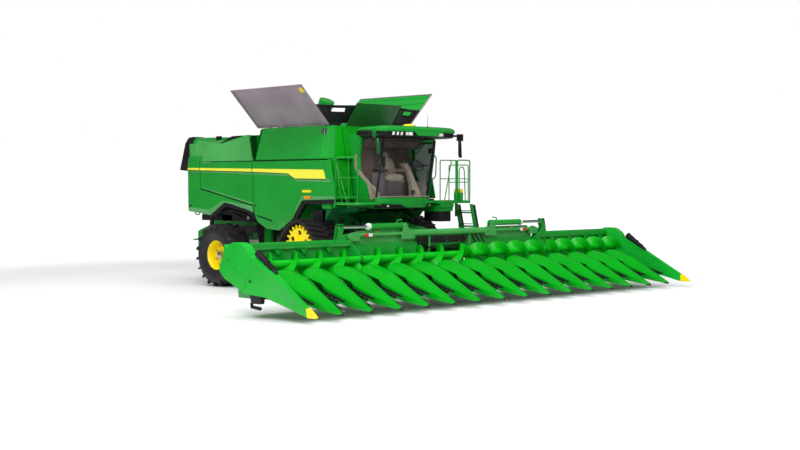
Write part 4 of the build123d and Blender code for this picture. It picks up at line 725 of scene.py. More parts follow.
# The centre tube and the back panels take the paler green: painted reflection haze.
piece("header_centre_tube", centre, sheen_painted_green, "feeder", bevel=0.004)
panels = Shape()
for side in (-1, 1):
    panels.slab(
        1, flip(side, [(1.34, 1.115), (2.86, 1.115), (2.86, 1.50), (2.80, 1.565), (1.34, 1.565)]),
        [0.02, 0.05, 0.03, 0.03, 0.02], -5.088, -5.074, steps=3
    )
    panels.slab(1, rectangle((side * 1.40, side * 2.80), (1.20, 1.25)), 0.01, -5.096, -5.086, steps=2)
piece("header_back_panels", panels, sheen_painted_green, "feeder", bevel=0.003)
plate = Shape()
plate.slab(1, rectangle((-1.05, 0.56), (1.245, 1.385)), 0.02, -5.158, -5.14, steps=3)
plate.slab(1, rectangle((-1.02, -0.66), (1.07, 1.235)), 0.02, -5.15, -5.135, steps=3)
for x, dz in ((0.70, 0.0), (0.84, 0.02), (1.0, -0.01)):
    plate.pipe(
        [(x, -5.16, 1.42), (x + 0.05, -5.20, 1.30 + dz), (x + 0.16, -5.17, 1.20), (x + 0.10, -5.12, 1.08)], 0.05,
        0.016, 8
    )
plate.pipe([(-0.9, -5.15, 1.20), (-0.5, -5.19, 1.12), (0.1, -5.18, 1.16), (0.5, -5.14, 1.22)], 0.12, 0.014, 8)
piece("header_black_panel", plate, black_plastic, "feeder", bevel=0.003)
studs = Shape()
bolts(studs, [(x, -5.158, z) for x in (-0.98, -0.55, -0.12, 0.30, 0.50) for z in (1.27, 1.36)], -2)
bolts(
    studs, [(side * x, -5.088, z) for side in (-1, 1) for x in (1.42, 1.75, 2.08, 2.41, 2.74) for z in (1.15, 1.53)],
    -2, 0.009, 0.005
)
piece("header_studs", studs, steel, "feeder", smooth=30)


def reflector(name, material, body, x, z, size=(0.11, 0.07), y=-5.18):
    """A small flat lens that faces forward."""
    lens = Shape()
    lens.slab(
        1, rectangle((x - size[0] / 2, x + size[0] / 2), (z - size[1] / 2, z + size[1] / 2)), 0.008, y - 0.008, y,
        steps=2
    )
    piece(name, lens, material, body, bevel=0.002)


for name, side in SIDES:
    reflector(f"reflector_red_{name}", red_lens, "feeder", side * 2.61, 1.475)
    reflector(f"reflector_white_{name}", white_lens, "feeder", side * 2.49, 1.475)
    reflector(f"reflector_amber_{name}", amber_lens, "feeder", side * 2.22, 1.52, (0.09, 0.045), -5.09)
    barrel = Shape()
    x0, x1, y, z = side * 1.46, side * 2.43, CYLINDER_Y, CYLINDER_Z
    barrel.lathe((0, y, z), 0, [
        (x0, 0.0), (x0, 0.04), (side * 1.53, 0.05), (side * 1.56, 0.066), (x1 - side * 0.03, 0.066), (x1, 0.072),
        (side * 2.47, 0.072), (side * 2.47, 0.036), (side * 2.3, 0.0345)
    ], 28, closed=False)
    barrel.tube([(x0, y - 0.045, z), (x0, y + 0.045, z)], 0.07, 24)
    barrel.pipe(flip(side, [(1.64, y, z + 0.05), (1.64, y, z + 0.12), (1.5, y, z + 0.13)]), 0.03, 0.014, 10)
    tube = piece(f"fold_barrel_{name}", barrel, green_paint, "feeder", smooth=35)
    if name == "left":
        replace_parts(tube, "fold_barrels")
    gland = Shape().lathe(
        (0, y, z), 0, flip(side, [(2.47, 0.036), (2.47, 0.074), (2.50, 0.078), (2.53, 0.070), (2.54, 0.036)]), 28,
        closed=False
    )
    piece(f"fold_gland_{name}", gland, white_lens, "feeder", smooth=35)
    rod = Shape().tube(flip(side, [(2.2, y, z), (3.28, y, z)]), 0.034, 24)
    rod.tube(flip(side, [(3.30, y - 0.032, z), (3.30, y + 0.032, z)]), 0.058, 28)
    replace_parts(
        piece(f"fold_rod_bright_{name}", rod, chrome, f"fold_rod_{name}", smooth=35), f"fold_rod_{name}"
    )

# End dividers: (y, z) round the panel's edge, from its tip along the bottom
DIVIDER = [
    (-7.57, 0.170), (-7.52, 0.155), (-7.28, 0.160), (-6.70, 0.300), (-6.12, 0.430), (-5.55, 0.460), (-5.38, 0.510),
    (-4.87, 0.730), (-4.71, 0.870), (-4.725, 0.990), (-4.84, 1.170), (-4.86, 1.375), (-4.885, 1.385), (-4.985, 1.315),
    (-5.05, 1.405), (-5.11, 1.432), (-5.35, 1.432), (-5.46, 1.40), (-5.60, 1.300), (-5.66, 1.200), (-5.82, 1.150),
    (-6.20, 0.945), (-6.67, 0.690), (-7.13, 0.440), (-7.40, 0.290)
]


def divider_inner(y):
    """Distance from the middle to the divider's inner face."""
    return HEADER_END + 0.15 * min(1.0, max(0.0, (-6.15 - y) / 1.35))


def inset(outline, distance):
    """The outline drawn in by a distance."""
    count = len(outline)
    line = []
    for n, point in enumerate(outline):
        before, after = Vector(outline[n - 1]), Vector(outline[(n + 1) % count])
        here = Vector(point)
        a, b = (here - before).normalized(), (after - here).normalized()
        normal = Vector((-(a.y + b.y), a.x + b.x))
        if normal.length > 0:
            normal.normalize()
        scale = max(0.35, normal.dot(Vector((-a.y, a.x))))
        line.append(tuple(here + normal * distance / scale))
    return line


def area(outline):
    """The signed area of a closed flat outline."""
    return sum(p[0] * q[1] - q[0] * p[1] for p, q in zip(outline, outline[1:] + outline[:1])) / 2


for name, side in SIDES:
    body = f"header_{name}_wing"
    shell = Shape()
    outline = DIVIDER if area(DIVIDER) > 0 else DIVIDER[::-1]
    rings = []
    for depth, draw in ((0.0, 0.006), (0.012, 0.0), (0.90, 0.0), (1.0, 0.010)):
        drawn = inset(outline, draw)
        ring = []
        for (y0, z0), (y, z) in zip(outline, drawn):
            low = divider_inner(y0)
            ring.append((side * (low + (SHELL_X - low) * depth), y, z))
        rings.append(ring)
    shell.skin(rings)
    piece(f"divider_shell_{name}", shell, leaf_paint, body, smooth=28)
    lower = Shape()
    access = [
        (-4.90, 0.985), (-5.01, 0.985), (-5.56, 0.780), (-5.53, 0.560), (-5.40, 0.535), (-4.88, 0.745),
        (-4.74, 0.875), (-4.76, 0.955)
    ]
    access = access if area(access) > 0 else access[::-1]
    access = rounded(access, 0.03, 3)
    lower.skin([
        [(side * x, y, z) for y, z in inset(access, draw)] for x, draw in ((6.09, 0.0), (6.106, 0.0), (6.112, 0.008))
    ])
    turns = [2 * pi * k / 32 for k in range(32)]
    rings = []
    for x, half_y, half_z in ((6.1135, 0.125, 0.095), (6.107, 0.112, 0.083), (6.1125, 0.100, 0.071)):
        rings.append([(side * x, -5.12 + half_y * cos(a), 0.775 + half_z * sin(a)) for a in turns])
    lower.skin(rings)
    piece(f"divider_access_{name}", lower, leaf_paint, body, smooth=28)
    ridge = Shape()
    for dx, dz in ((6.03, 0.0), (6.075, -0.012)):
        line = [
            (side * (dx if y > -6.9 else dx + (6.09 - dx) * 0.3), y, z + 0.004 + dz)
            for y, z in ((-5.90, 1.105), (-6.20, 0.945), (-6.67, 0.690), (-7.13, 0.440), (-7.34, 0.325))
        ]
        ridge.tube(line, 0.012, 8)
    piece(f"divider_ridge_{name}", ridge, leaf_paint, body, smooth=60)
    marks = Shape()
    bolts(
        marks, [(side * 6.097, y, z) for y, z in ((-6.18, 0.555), (-6.42, 0.585), (-5.75, 0.95), (-6.9, 0.40))], side,
        0.014, 0.008
    )
    piece(f"divider_bolts_{name}", marks, steel, body, smooth=30)
    dark = Shape()
    dark.tube(flip(side, [(6.095, -5.68, 0.715), (6.1, -5.68, 0.715)]), 0.034, 16)
    dark.tube(flip(side, [(6.095, -4.98, 1.10), (6.1, -4.98, 1.10)]), 0.018, 12)
    dark.slab(0, [(-5.93, 0.29), (-5.66, 0.29), (-5.60, 0.46), (-5.95, 0.43)], 0.04, *span(side, 5.95, 6.05), steps=3)
    dark.tube(flip(side, [(5.99, -5.60, 0.30), (5.99, -5.60, 0.22), (5.99, -5.86, 0.20)]), 0.035, 12)
    foot, head = Vector((side * 5.985, -6.34, 0.885)), Vector((side * 5.985, -5.79, 1.250))
    steps = (
        (0.0, 0.030), (0.04, 0.046), (0.20, 0.050), (0.22, 0.062), (0.46, 0.056), (0.48, 0.070), (0.52, 0.070),
        (0.54, 0.060), (0.93, 0.074), (1.0, 0.074), (1.0, 0.058), (0.95, 0.052)
    )
    dark.tube([foot + (head - foot) * t for t, r in steps], [r for t, r in steps], 20)
    piece(f"divider_cone_{name}", dark, black_plastic, body, smooth=30)
    cap = Shape()
    tip = [(-7.568, 0.148), (-7.34, 0.146), (-7.315, 0.31), (-7.36, 0.325), (-7.50, 0.235), (-7.568, 0.178)]
    cap.skin([
        [(side * x, y, z) for y, z in inset(tip, d)]
        for x, d in ((6.035, 0.006), (6.04, 0.0), (6.106, 0.0), (6.112, 0.006))
    ])
    cap.tube(flip(side, [(6.11, -7.44, 0.235), (6.1145, -7.44, 0.235)]), 0.016, 10)
    piece(f"divider_tip_{name}", cap, yellow_paint, body, smooth=28)

# ---------------------------------------------------------------- body sides

def relief(shape, side, points, faces, rim, back):
    """A pressed panel: points (y, z, distance from the middle), faces, and a turned-in rim."""
    front = [shape.mesh.verts.new((side * x, y, z)) for y, z, x in points]
    for face in faces:
        shape.mesh.faces.new([front[n] for n in face])
    behind = [shape.mesh.verts.new((side * back, points[n][0], points[n][1])) for n in rim]
    for k in range(len(rim)):
        m = (k + 1) % len(rim)
        shape.mesh.faces.new((front[rim[k]], front[rim[m]], behind[m], behind[k]))
    shape.mesh.faces.new(behind)


def strip(shape, side, outline, low, high):
    """A flat applied strip on a side: (y, z) outline between two distances from the middle."""
    shape.prism(0, outline, *span(side, low, high))


FRONT_DOOR = [
    (-0.128, 3.105, 1.684), (-2.83, 3.105, 1.684), (-2.93, 3.105, 1.650), (-0.128, 2.852, 1.684),
    (-1.50, 2.80, 1.684), (-1.74, 2.68, 1.684), (-2.945, 2.665, 1.684), (-3.044, 2.665, 1.650),
    (-0.128, 2.790, 1.664), (-1.54, 2.740, 1.664), (-1.79, 2.615, 1.664), (-2.965, 2.600, 1.664),
    (-3.062, 2.600, 1.642), (-0.128, 2.035, 1.666), (-1.13, 1.84, 1.668), (-1.93, 2.26, 1.668), (-3.04, 2.275, 1.664),
    (-3.138, 2.275, 1.642), (-0.17, 1.79, 1.640), (-0.26, 1.63, 1.638), (-0.62, 1.47, 1.638), (-1.09, 1.44, 1.638),
    (-1.58, 1.73, 1.640), (-1.94, 2.17, 1.642), (-3.155, 2.205, 1.634)
]
FRONT_FACES = [
    (0, 3, 4, 5, 6, 1), (1, 6, 7, 2), (3, 8, 9, 4), (4, 9, 10, 5), (5, 10, 11, 6), (6, 11, 12, 7), (8, 13, 14, 9),
    (9, 14, 15, 10), (10, 15, 16, 11), (11, 16, 17, 12), (13, 18, 19, 20, 14), (14, 20, 21), (14, 21, 22, 15),
    (15, 22, 23), (15, 23, 24, 16), (16, 24, 17)
]
FRONT_RIM = [0, 3, 8, 13, 18, 19, 20, 21, 22, 23, 24, 17, 12, 7, 2, 1]
REAR_DOOR = [
    (-0.094, 3.105, 1.684), (2.055, 3.105, 1.684), (-0.094, 2.852, 1.684), (2.055, 2.905, 1.684),
    (-0.094, 2.790, 1.664), (2.055, 2.845, 1.664), (-0.094, 2.045, 1.650), (2.055, 2.445, 1.650),
    (-0.094, 2.10, 1.664), (2.055, 2.50, 1.664)
]
REAR_FACES = [(0, 2, 3, 1), (2, 4, 5, 3), (4, 8, 9, 5), (8, 6, 7, 9)]
REAR_RIM = [0, 2, 4, 8, 6, 7, 9, 5, 3, 1]
TAIL_SIDE = [
    (2.085, 3.28, 1.660), (2.50, 3.28, 1.660), (2.60, 3.235, 1.645), (2.66, 3.14, 1.625), (2.69, 3.02, 1.605),
    (2.085, 3.16, 1.684), (2.52, 3.14, 1.684), (2.60, 3.02, 1.676), (2.085, 2.905, 1.684), (2.60, 2.925, 1.676),
    (2.69, 2.93, 1.605), (2.085, 2.845, 1.664), (2.60, 2.865, 1.656), (2.69, 2.86, 1.605), (2.085, 2.420, 1.664),
    (2.58, 2.10, 1.660), (2.69, 2.10, 1.600), (-0.094, 2.018, 1.664), (1.10, 2.14, 1.662), (1.72, 1.90, 1.660),
    (2.56, 1.955, 1.656), (2.69, 1.95, 1.598), (-0.094, 1.85, 1.640), (0.04, 1.90, 1.638), (0.84, 2.06, 1.638),
    (1.08, 2.09, 1.638), (1.68, 1.76, 1.630), (2.69, 1.85, 1.590)
]
TAIL_FACES = [
    (0, 5, 6, 2, 1), (2, 6, 7, 3), (3, 7, 9, 10, 4), (5, 8, 9, 7, 6), (8, 11, 12, 9), (9, 12, 13, 10),
    (11, 14, 15, 12), (12, 15, 16, 13), (14, 18, 19, 15), (14, 17, 18), (15, 19, 20), (15, 20, 21, 16),
    (17, 22, 23, 24, 18), (18, 24, 25), (18, 25, 26, 19), (19, 26, 27, 20), (20, 27, 21)
]
TAIL_RIM = [0, 5, 8, 11, 14, 17, 22, 23, 24, 25, 26, 27, 21, 16, 13, 10, 4, 3, 2, 1]
for name, side in SIDES:
    for label, points, faces, rim, inner in (
        ("front", FRONT_DOOR, FRONT_FACES, FRONT_RIM, 1.626),
        ("rear", REAR_DOOR, REAR_FACES, REAR_RIM, 1.626),
    ):
        body = f"side_door_{label}_{name}"
        door = Shape()
        relief(door, side, points, faces, rim, inner)
        skin = piece(f"door_{label}_{name}", door, green_paint, body, bevel=0.010, smooth=9, segments=3)
        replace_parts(skin, body)
    tail = Shape()
    relief(tail, side, TAIL_SIDE, TAIL_FACES, TAIL_RIM, 1.585)
    tail.box(span(side, 0.0, 1.60), (2.645, 2.688), (2.16, 3.10))
    skin = piece(f"tail_side_{name}", tail, green_paint, bevel=0.010, smooth=9, segments=3)
    if name == "left":
        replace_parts(skin, "rear_side_panels")

    # The coloured stripe runs over the three panels and widens into a bare name block
    for label, body, outline in (
        (
            "front", f"side_door_front_{name}",
            [(-0.132, 2.932), (-0.132, 2.856), (-1.50, 2.804), (-1.74, 2.686), (-2.835, 2.672), (-2.755, 2.884)]
        ),
        ("rear", f"side_door_rear_{name}", [(-0.090, 2.932), (-0.090, 2.856), (2.051, 2.909), (2.051, 2.968)]),
        ("tail", "machine", [(2.089, 2.968), (2.089, 2.909), (2.575, 2.925), (2.575, 2.975)])
    ):
        band = Shape()
        strip(band, side, outline, 1.684, 1.696)
        piece(f"stripe_{label}_{name}", band, stripe_yellow, body, bevel=0.002)
        # A dark strip just under the stripe's lower edge: painted shadow of the stripe.
        shade = Shape()
        edge = outline[1:-1]
        strip(shade, side, edge + [(y, z - 0.016) for y, z in reversed(edge)], 1.684, 1.694)
        piece(f"stripe_edge_{label}_{name}", shade, painted_shade_green, body)

    # Latches, the pull slot and small markers; the pull slot is dark as painted shade in its recess
    marks = Shape()
    marks.lathe(
        (0, -0.20, 2.03), 0, flip(side, [(1.655, 0.0), (1.672, 0.0), (1.672, 0.028), (1.655, 0.032)]), 24,
        closed=False
    )
    marks.slab(
        0, [(-0.24, 1.775), (-0.80, 1.655), (-0.86, 1.620), (-0.84, 1.684), (-0.78, 1.700), (-0.26, 1.800)], 0.015,
        *span(side, 1.620, 1.6555), steps=2
    )
    piece(f"door_pull_{name}", marks, painted_shade_green, f"side_door_front_{name}", bevel=0.003)
    spot = Shape()
    spot.lathe(
        (0, 2.50, 2.0), 0, flip(side, [(1.655, 0.0), (1.672, 0.0), (1.672, 0.024), (1.655, 0.028)]), 24, closed=False
    )
    spot.pipe(
        flip(side, [(1.58, 2.20, 1.84), (1.58, 2.24, 1.765), (1.58, 2.38, 1.765), (1.58, 2.42, 1.84)]), 0.03, 0.014, 8
    )
    piece(f"tail_spot_{name}", spot, black_plastic, smooth=40)
    plate = Shape().slab(0, rectangle((-1.99, -2.30), (2.415, 2.355)), 0.012, *span(side, 1.655, 1.676), steps=2)
    piece(f"marker_yellow_{name}", plate, yellow_paint, f"side_door_front_{name}", bevel=0.002)
    lamp = Shape().slab(
        0, [(-2.04, 2.275), (-2.30, 2.275), (-2.27, 2.205), (-2.07, 2.205)], 0.012, *span(side, 1.630, 1.676), steps=2
    )
    piece(f"marker_amber_{name}", lamp, amber_lens, f"side_door_front_{name}", bevel=0.004)

    # Dark blocks set into the door joints: painted shade in the gaps.
    gaps = Shape()
    for y, low, high in ((-0.111, 1.86, 3.12), (2.070, 2.40, 3.12)):
        gaps.box(span(side, 1.600, 1.634), (y - 0.05, y + 0.05), (low, high - 0.02))
    gaps.prism(0, [(-0.10, 1.98), (2.07, 2.38), (2.07, 2.47), (-0.10, 2.07)], *span(side, 1.600, 1.632))
    piece(f"door_gaps_{name}", gaps, painted_shade_green)

    # Wheel-arch trims
    arch = Shape()
    outer = [(1.715, 1.46), (1.685, 1.765), (1.075, 2.085), (0.84, 2.055), (0.09, 1.935), (-0.21, 1.775)]
    inner = [(-0.16, 1.684), (0.17, 1.855), (0.84, 1.965), (1.04, 1.995), (1.60, 1.715), (1.625, 1.46)]
    strip(arch, side, outer + inner, 1.560, 1.638)
    outer = [(-1.600, 1.715), (-1.955, 2.160), (-3.10, 2.195), (-3.10, 2.100), (-2.06, 2.085), (-1.665, 1.640)]
    strip(arch, side, outer, 1.560, 1.640)
    trims = piece(f"arch_trim_{name}", arch, black_plastic, bevel=0.008)
    if name == "left":
        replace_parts(trims, "arch_trims")

    # The wall beside the cab, behind the platform
    wall = Shape()
    inner = -2.885 if side > 0 else -2.96
    front = flip(
        side, [(1.615, -2.86, 3.125), (1.615, inner - 0.05, 2.20), (0.93, inner, 2.20), (0.93, -2.80, 3.125)]
    )
    wall.skin([front, [(x, y + 0.05, z) for x, y, z in front]])
    wall.slab(1, rectangle((side * 1.50, side * 1.05), (2.95, 2.42)), 0.05, inner - 0.012, inner + 0.05, steps=3)
    # The wall's forward-facing green is painted light.
    piece(f"front_wall_{name}", wall, front_lit_green, bevel=0.012)

# Tail: a recessed door with louvres, a ladder rail and lamps
tail_door = Shape()
tail_door.slab(1, rectangle((-0.95, 0.95), (2.30, 3.02)), 0.06, 2.685, 2.694, steps=3)
for k in range(6):
    tail_door.prism(0, [(2.690, 2.42 + 0.085 * k), (2.712, 2.43 + 0.085 * k), (2.690, 2.48 + 0.085 * k)], -0.55, 0.55)
for x in (-0.80, 0.80):
    tail_door.pipe([(x, 2.69, 2.42), (x, 2.75, 2.42), (x, 2.75, 2.92), (x, 2.69, 2.92)], 0.03, 0.014, 8)
piece("tail_door", tail_door, green_paint, bevel=0.004)
for name, side in SIDES:
    for label, material, slot, z in (
        ("red", red_lens, "black", 2.40), ("amber", amber_lens, "yellow", 2.58), ("white", white_lens, "chrome", 2.74)
    ):
        lamp = Shape().slab(
            1, rectangle((side * 1.20, side * 1.46), (z - 0.065, z + 0.065)), 0.02, 2.680, 2.712, steps=3
        )
        piece(f"tail_lamp_{label}_{name}", lamp, material, bevel=0.006)

# ---------------------------------------------------------------- rear hood

def flank(z):
    """How far a flank stands from the middle at a height."""
    return 1.617 - 0.267 * max(0.0, min(1.0, (z - 3.16) / 0.60))


hood_line = [
    (-0.02, 3.128), (0.46, 3.785), (0.60, 3.778), (0.99, 3.700), (1.50, 3.580), (2.56, 3.69), (2.62, 3.60),
    (2.62, 3.128)
]
hood_shell = Shape()
for side in (-1, 1):
    loops = []
    for draw, drop in ((0.0, 0.0), (0.07, 0.0), (0.075, 0.02)):
        loops.append([(side * (flank(z) - draw), y, z - drop) for y, z in hood_line])
    hood_shell.skin(loops)
deck = [(0.47, 3.15), (0.47, 3.787), (0.60, 3.787), (2.02, 3.755), (2.30, 3.68), (2.60, 3.60), (2.60, 3.15)]
raised = Shape()
raised.skin([[(x * w, y, z) for y, z in deck] for x, w in ((-1, 1.05), (1, 1.05))])
piece("hood_deck", raised, leaf_plastic, bevel=0.010, smooth=16)
for side in (-1, 1):
    slope = flip(side, [
        (1.02, 0.60, 3.70), (1.02, 2.02, 3.50), (1.02, 2.30, 3.50), (1.02, 2.60, 3.50), (1.37, 2.56, 3.665),
        (1.41, 1.50, 3.560), (1.36, 0.99, 3.69), (1.33, 0.58, 3.765)
    ])
    under = [(x, y, 3.30) for x, y, z in slope]
    hood_shell.skin([slope, under])
    hood_shell.skin([[
        (side * x, y + dy, z)
        for x, y, z in ((1.60, -0.01, 3.13), (1.34, 0.462, 3.775), (1.08, 0.462, 3.78), (1.08, 0.462, 3.13))
    ] for dy in (0.0, 0.03)])
    hood_shell.box(span(side, 1.05, 1.60), (2.56, 2.62), (3.13, 3.60))
hood_shell.box((-1.55, 1.55), (2.575, 2.62), (3.128, 3.58))
# The hood shell takes the paler green: painted reflection haze.
hood_piece = piece("hood_shell", hood_shell, sheen_painted_green, bevel=0.010, smooth=16)
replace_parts(hood_piece, "rear_hood")
dark = Shape()
for side in (-1, 1):
    dark.prism(
        0, [(1.56, 3.600), (1.40, 3.565), (0.92, 3.730), (0.66, 3.772), (1.08, 3.765)], *span(side, 1.30, 1.398)
    )
    dark.box(span(side, 1.02, 1.12), (1.98, 2.12), (3.66, 3.80))
dark.slab(1, rectangle((-0.9, 0.9), (3.20, 3.52)), 0.05, 2.61, 2.632, steps=3)
for k in range(7):
    dark.box((-0.86, 0.86), (2.625, 2.645), (3.23 + 0.04 * k, 3.245 + 0.04 * k))
piece("hood_intakes", dark, black_plastic, bevel=0.006)
grate = Shape()
for k in range(13):
    x = -0.66 + 0.11 * k
    grate.box((x, x + 0.035), (0.62, 1.62), (3.76, 3.805))
grate.box((-0.70, 0.74), (0.58, 0.64), (3.76, 3.815))
grate.box((-0.70, 0.74), (1.60, 1.66), (3.75, 3.80))
grate.tube([(0.35, 1.86, 3.70), (0.35, 1.86, 3.93), (0.35, 1.90, 3.97)], [0.07, 0.07, 0.065], 24)
piece("hood_grate", grate, sheen_charcoal, bevel=0.005)

# Dark sheets in the creases and the gap between the hood and the tank: painted shade
gap = Shape()
for side in (-1, 1):
    gap.skin([[
        (side * x, y + dy, z)
        for x, y, z in ((1.59, -0.04, 3.135), (1.335, 0.440, 3.770), (1.10, 0.440, 3.770), (1.10, 0.440, 3.135))
    ] for dy in (0.0, 0.010)])
    gap.skin([[
        (side * (x + dx), y, z)
        for x, y, z in ((1.655, -0.215, 3.14), (1.30, -0.075, 3.90), (1.225, 0.105, 3.90), (1.55, -0.10, 3.14))
    ] for dx in (0.006, 0.018)])
piece("hood_gap_shade", gap, crease_shade_green, bevel=0.004)

# ---------------------------------------------------------------- grain tank
LOW_Z, RIM_Z = 3.135, 3.925
# (x, y) of the wall's half outline at its foot and at its rim, front middle to back middle
TANK_FOOT = [
    (0.0, -2.86), (1.42, -2.86), (1.58, -2.80), (1.665, -2.62), (1.665, -0.22), (1.62, -0.16), (1.40, 0.02),
    (0.0, 0.04)
]
TANK_RIM = [
    (0.0, -2.53), (1.12, -2.53), (1.24, -2.47), (1.31, -2.32), (1.31, -0.08), (1.22, 0.10), (1.12, 0.12), (0.0, 0.12)
]


def around(outline):
    """A whole outline from its half at +x."""
    return outline + [(-x, y) for x, y in reversed(outline) if x > 0]


def tank_ring(t, draw):
    """A level ring of the tank's wall at t from foot to rim, drawn in."""
    ring = []
    for (x0, y0), (x1, y1) in zip(around(TANK_FOOT), around(TANK_RIM)):
        x, y = x0 + (x1 - x0) * t, y0 + (y1 - y0) * t
        ring.append(
            (x - copysign(min(draw, abs(x)), x), y + (draw if y < -1 else -draw), LOW_Z + (RIM_Z - LOW_Z) * t)
        )
    return ring


tank = Shape()
tank.skin([tank_ring(0, 0), tank_ring(1.0, 0), tank_ring(1.0, 0.03), tank_ring(0.02, 0.04)])
for side in (-1, 1):
    corner = flip(side, [(1.44, -2.872, 3.14), (1.56, -2.83, 3.14), (1.235, -2.50, 3.90), (1.14, -2.54, 3.90)])
    tank.skin([corner, [(x * 0.97, y + 0.03, z) for x, y, z in corner]])
body_tank = piece("tank_shell", tank, green_paint, bevel=0.012, smooth=20)
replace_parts(body_tank, "grain_tank")
# A thin sheet over the tank's front face in the forward-facing green: painted light.
face = [(-1.415, -2.866, 3.14), (1.415, -2.866, 3.14), (1.115, -2.536, 3.918), (-1.115, -2.536, 3.918)]
tank_front_lit_sheet = Shape().skin([face, [(x, y + 0.02, z) for x, y, z in face]])
piece("tank_front_lit_sheet", tank_front_lit_sheet, front_lit_green, bevel=0.004)
cavity = Shape()
cavity.skin([tank_ring(0.70, 0.060), tank_ring(0.92, 0.060)], caps=False)
cavity.skin([tank_ring(0.70, 0.060), tank_ring(0.69, 0.5)])
piece("tank_lining", cavity, sheen_charcoal, smooth=30)
# Dark lines along the tank's foot and front corners: painted shade in the seams and creases.
seams = Shape()
for side in (-1, 1):
    line = flip(side, [(1.672, -0.22, 3.130), (1.672, -2.62, 3.130), (1.59, -2.81, 3.130), (0.95, -2.875, 3.130)])
    seams.tube(line, 0.008, 6)
    seams.tube(flip(side, [(1.10, -2.87, 3.16), (0.93, -2.55, 3.88)]), 0.006, 6)
piece("tank_seam_shade", seams, painted_shade_green)
fittings = Shape()
for side in (-1, 1):
    fittings.slab(
        0, [(-2.48, 3.70), (-2.38, 3.70), (-2.36, 3.84), (-2.46, 3.86)], 0.02, *span(side, 1.33, 1.40), steps=2
    )
    fittings.tube(flip(side, [(1.40, -2.47, 3.72), (1.375, -2.43, 3.86)]), 0.016, 8)
    for y in (-0.30, -0.81, -1.58, -2.2):
        fittings.tube(flip(side, [(1.315, y - 0.03, 3.925), (1.315, y + 0.03, 3.925)]), 0.020, 12)
piece("tank_latches", fittings, steel, bevel=0.003)

# ---------------------------------------------------------------- covers and flaps
RISE = radians(46)
COVER_AXIS = (1.285, 3.940)


def on_cover(side, out, lift):
    """Point (x, z) on a cover, out from its hinge and lifted from its inner face."""
    return (
        side * (COVER_AXIS[0] + out * cos(RISE) - lift * sin(RISE)),
        COVER_AXIS[1] + out * sin(RISE) + lift * cos(RISE),
    )


def cover_section(side, *corners):
    """A section on a cover, from each corner's way out and lift."""
    return [on_cover(side, out, lift) for out, lift in corners]


for name, side in SIDES:
    body = f"tank_cover_{name}"
    sheet = Shape()
    # The sheet lies below its hinge line by its thickness, with flanged edges
    grid = []
    rows, columns = 14, 18
    near_edge, far_edge = 0.014, 1.236
    for r in range(rows + 1):
        out = near_edge + (far_edge - near_edge) * r / rows
        line = []
        for c in range(columns + 1):
            u = c / columns
            y = -2.526 + 2.642 * u
            arc = 0.98 - 0.10 * (2 * u - 1) ** 2
            swell = 0.006 * exp(-(((out - arc) / 0.030) ** 2))
            x, z = on_cover(side, out, -0.026 - swell)
            line.append(sheet.mesh.verts.new((x, y, z)))
        grid.append(line)
    for r in range(rows):
        for c in range(columns):
            sheet.mesh.faces.new((grid[r][c], grid[r][c + 1], grid[r + 1][c + 1], grid[r + 1][c]))
    outer = piece(f"cover_sheet_{name}", sheet, sheen_charcoal, body, smooth=50)
    solid = outer.modifiers.new("solid", "SOLIDIFY")
    solid.thickness = 0.004
    solid.offset = 0
    settle(outer)
    frame_bars = Shape()
    for y0, y1 in ((-2.528, -2.506), (0.098, 0.119)):
        frame_bars.prism(
            1, cover_section(side, (0.014, -0.029), (1.238, -0.029), (1.238, -0.002), (0.014, -0.002)), y0, y1
        )
    for out in (0.014, 1.214):
        frame_bars.prism(
            1, cover_section(side, (out, -0.029), (out + 0.026, -0.029), (out + 0.026, -0.001), (out, -0.001)),
            -2.528, 0.119
        )
    piece(f"cover_frame_{name}", frame_bars, sheen_charcoal, body, bevel=0.004)
    liner = Shape()
    liner.prism(1, cover_section(side, (0.05, -0.020), (1.21, -0.020), (1.21, -0.014), (0.05, -0.014)), -2.50, 0.095)
    for out in (0.16, 0.40, 0.64, 0.88, 1.10):
        liner.prism(
            1, cover_section(side, (out, -0.016), (out + 0.07, -0.016), (out + 0.055, 0.0), (out + 0.015, 0.0)),
            -2.44, 0.04
        )
    piece(f"cover_liner_{name}", liner, green_paint, body, bevel=0.003)
    hinge = Shape()
    for y in (-2.30, -1.58, -0.81, -0.30):
        hinge.tube(flip(side, [(1.285, y - 0.10, 3.940), (1.285, y + 0.10, 3.940)]), 0.014, 16)
        hinge.prism(
            1, cover_section(side, (0.0, -0.030), (0.16, -0.034), (0.16, -0.028), (0.0, -0.012)), y - 0.05, y + 0.05
        )
    lids = piece(f"cover_hinge_{name}", hinge, sheen_charcoal, body, bevel=0.002)
    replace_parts(lids, f"tank_cover_{name}")
    tag = Shape().prism(
        1, cover_section(side, (1.02, -0.036), (1.16, -0.036), (1.16, -0.029), (1.02, -0.029)), -2.50, -2.36
    )
    piece(f"cover_tag_{name}", tag, yellow_paint, body, bevel=0.002)

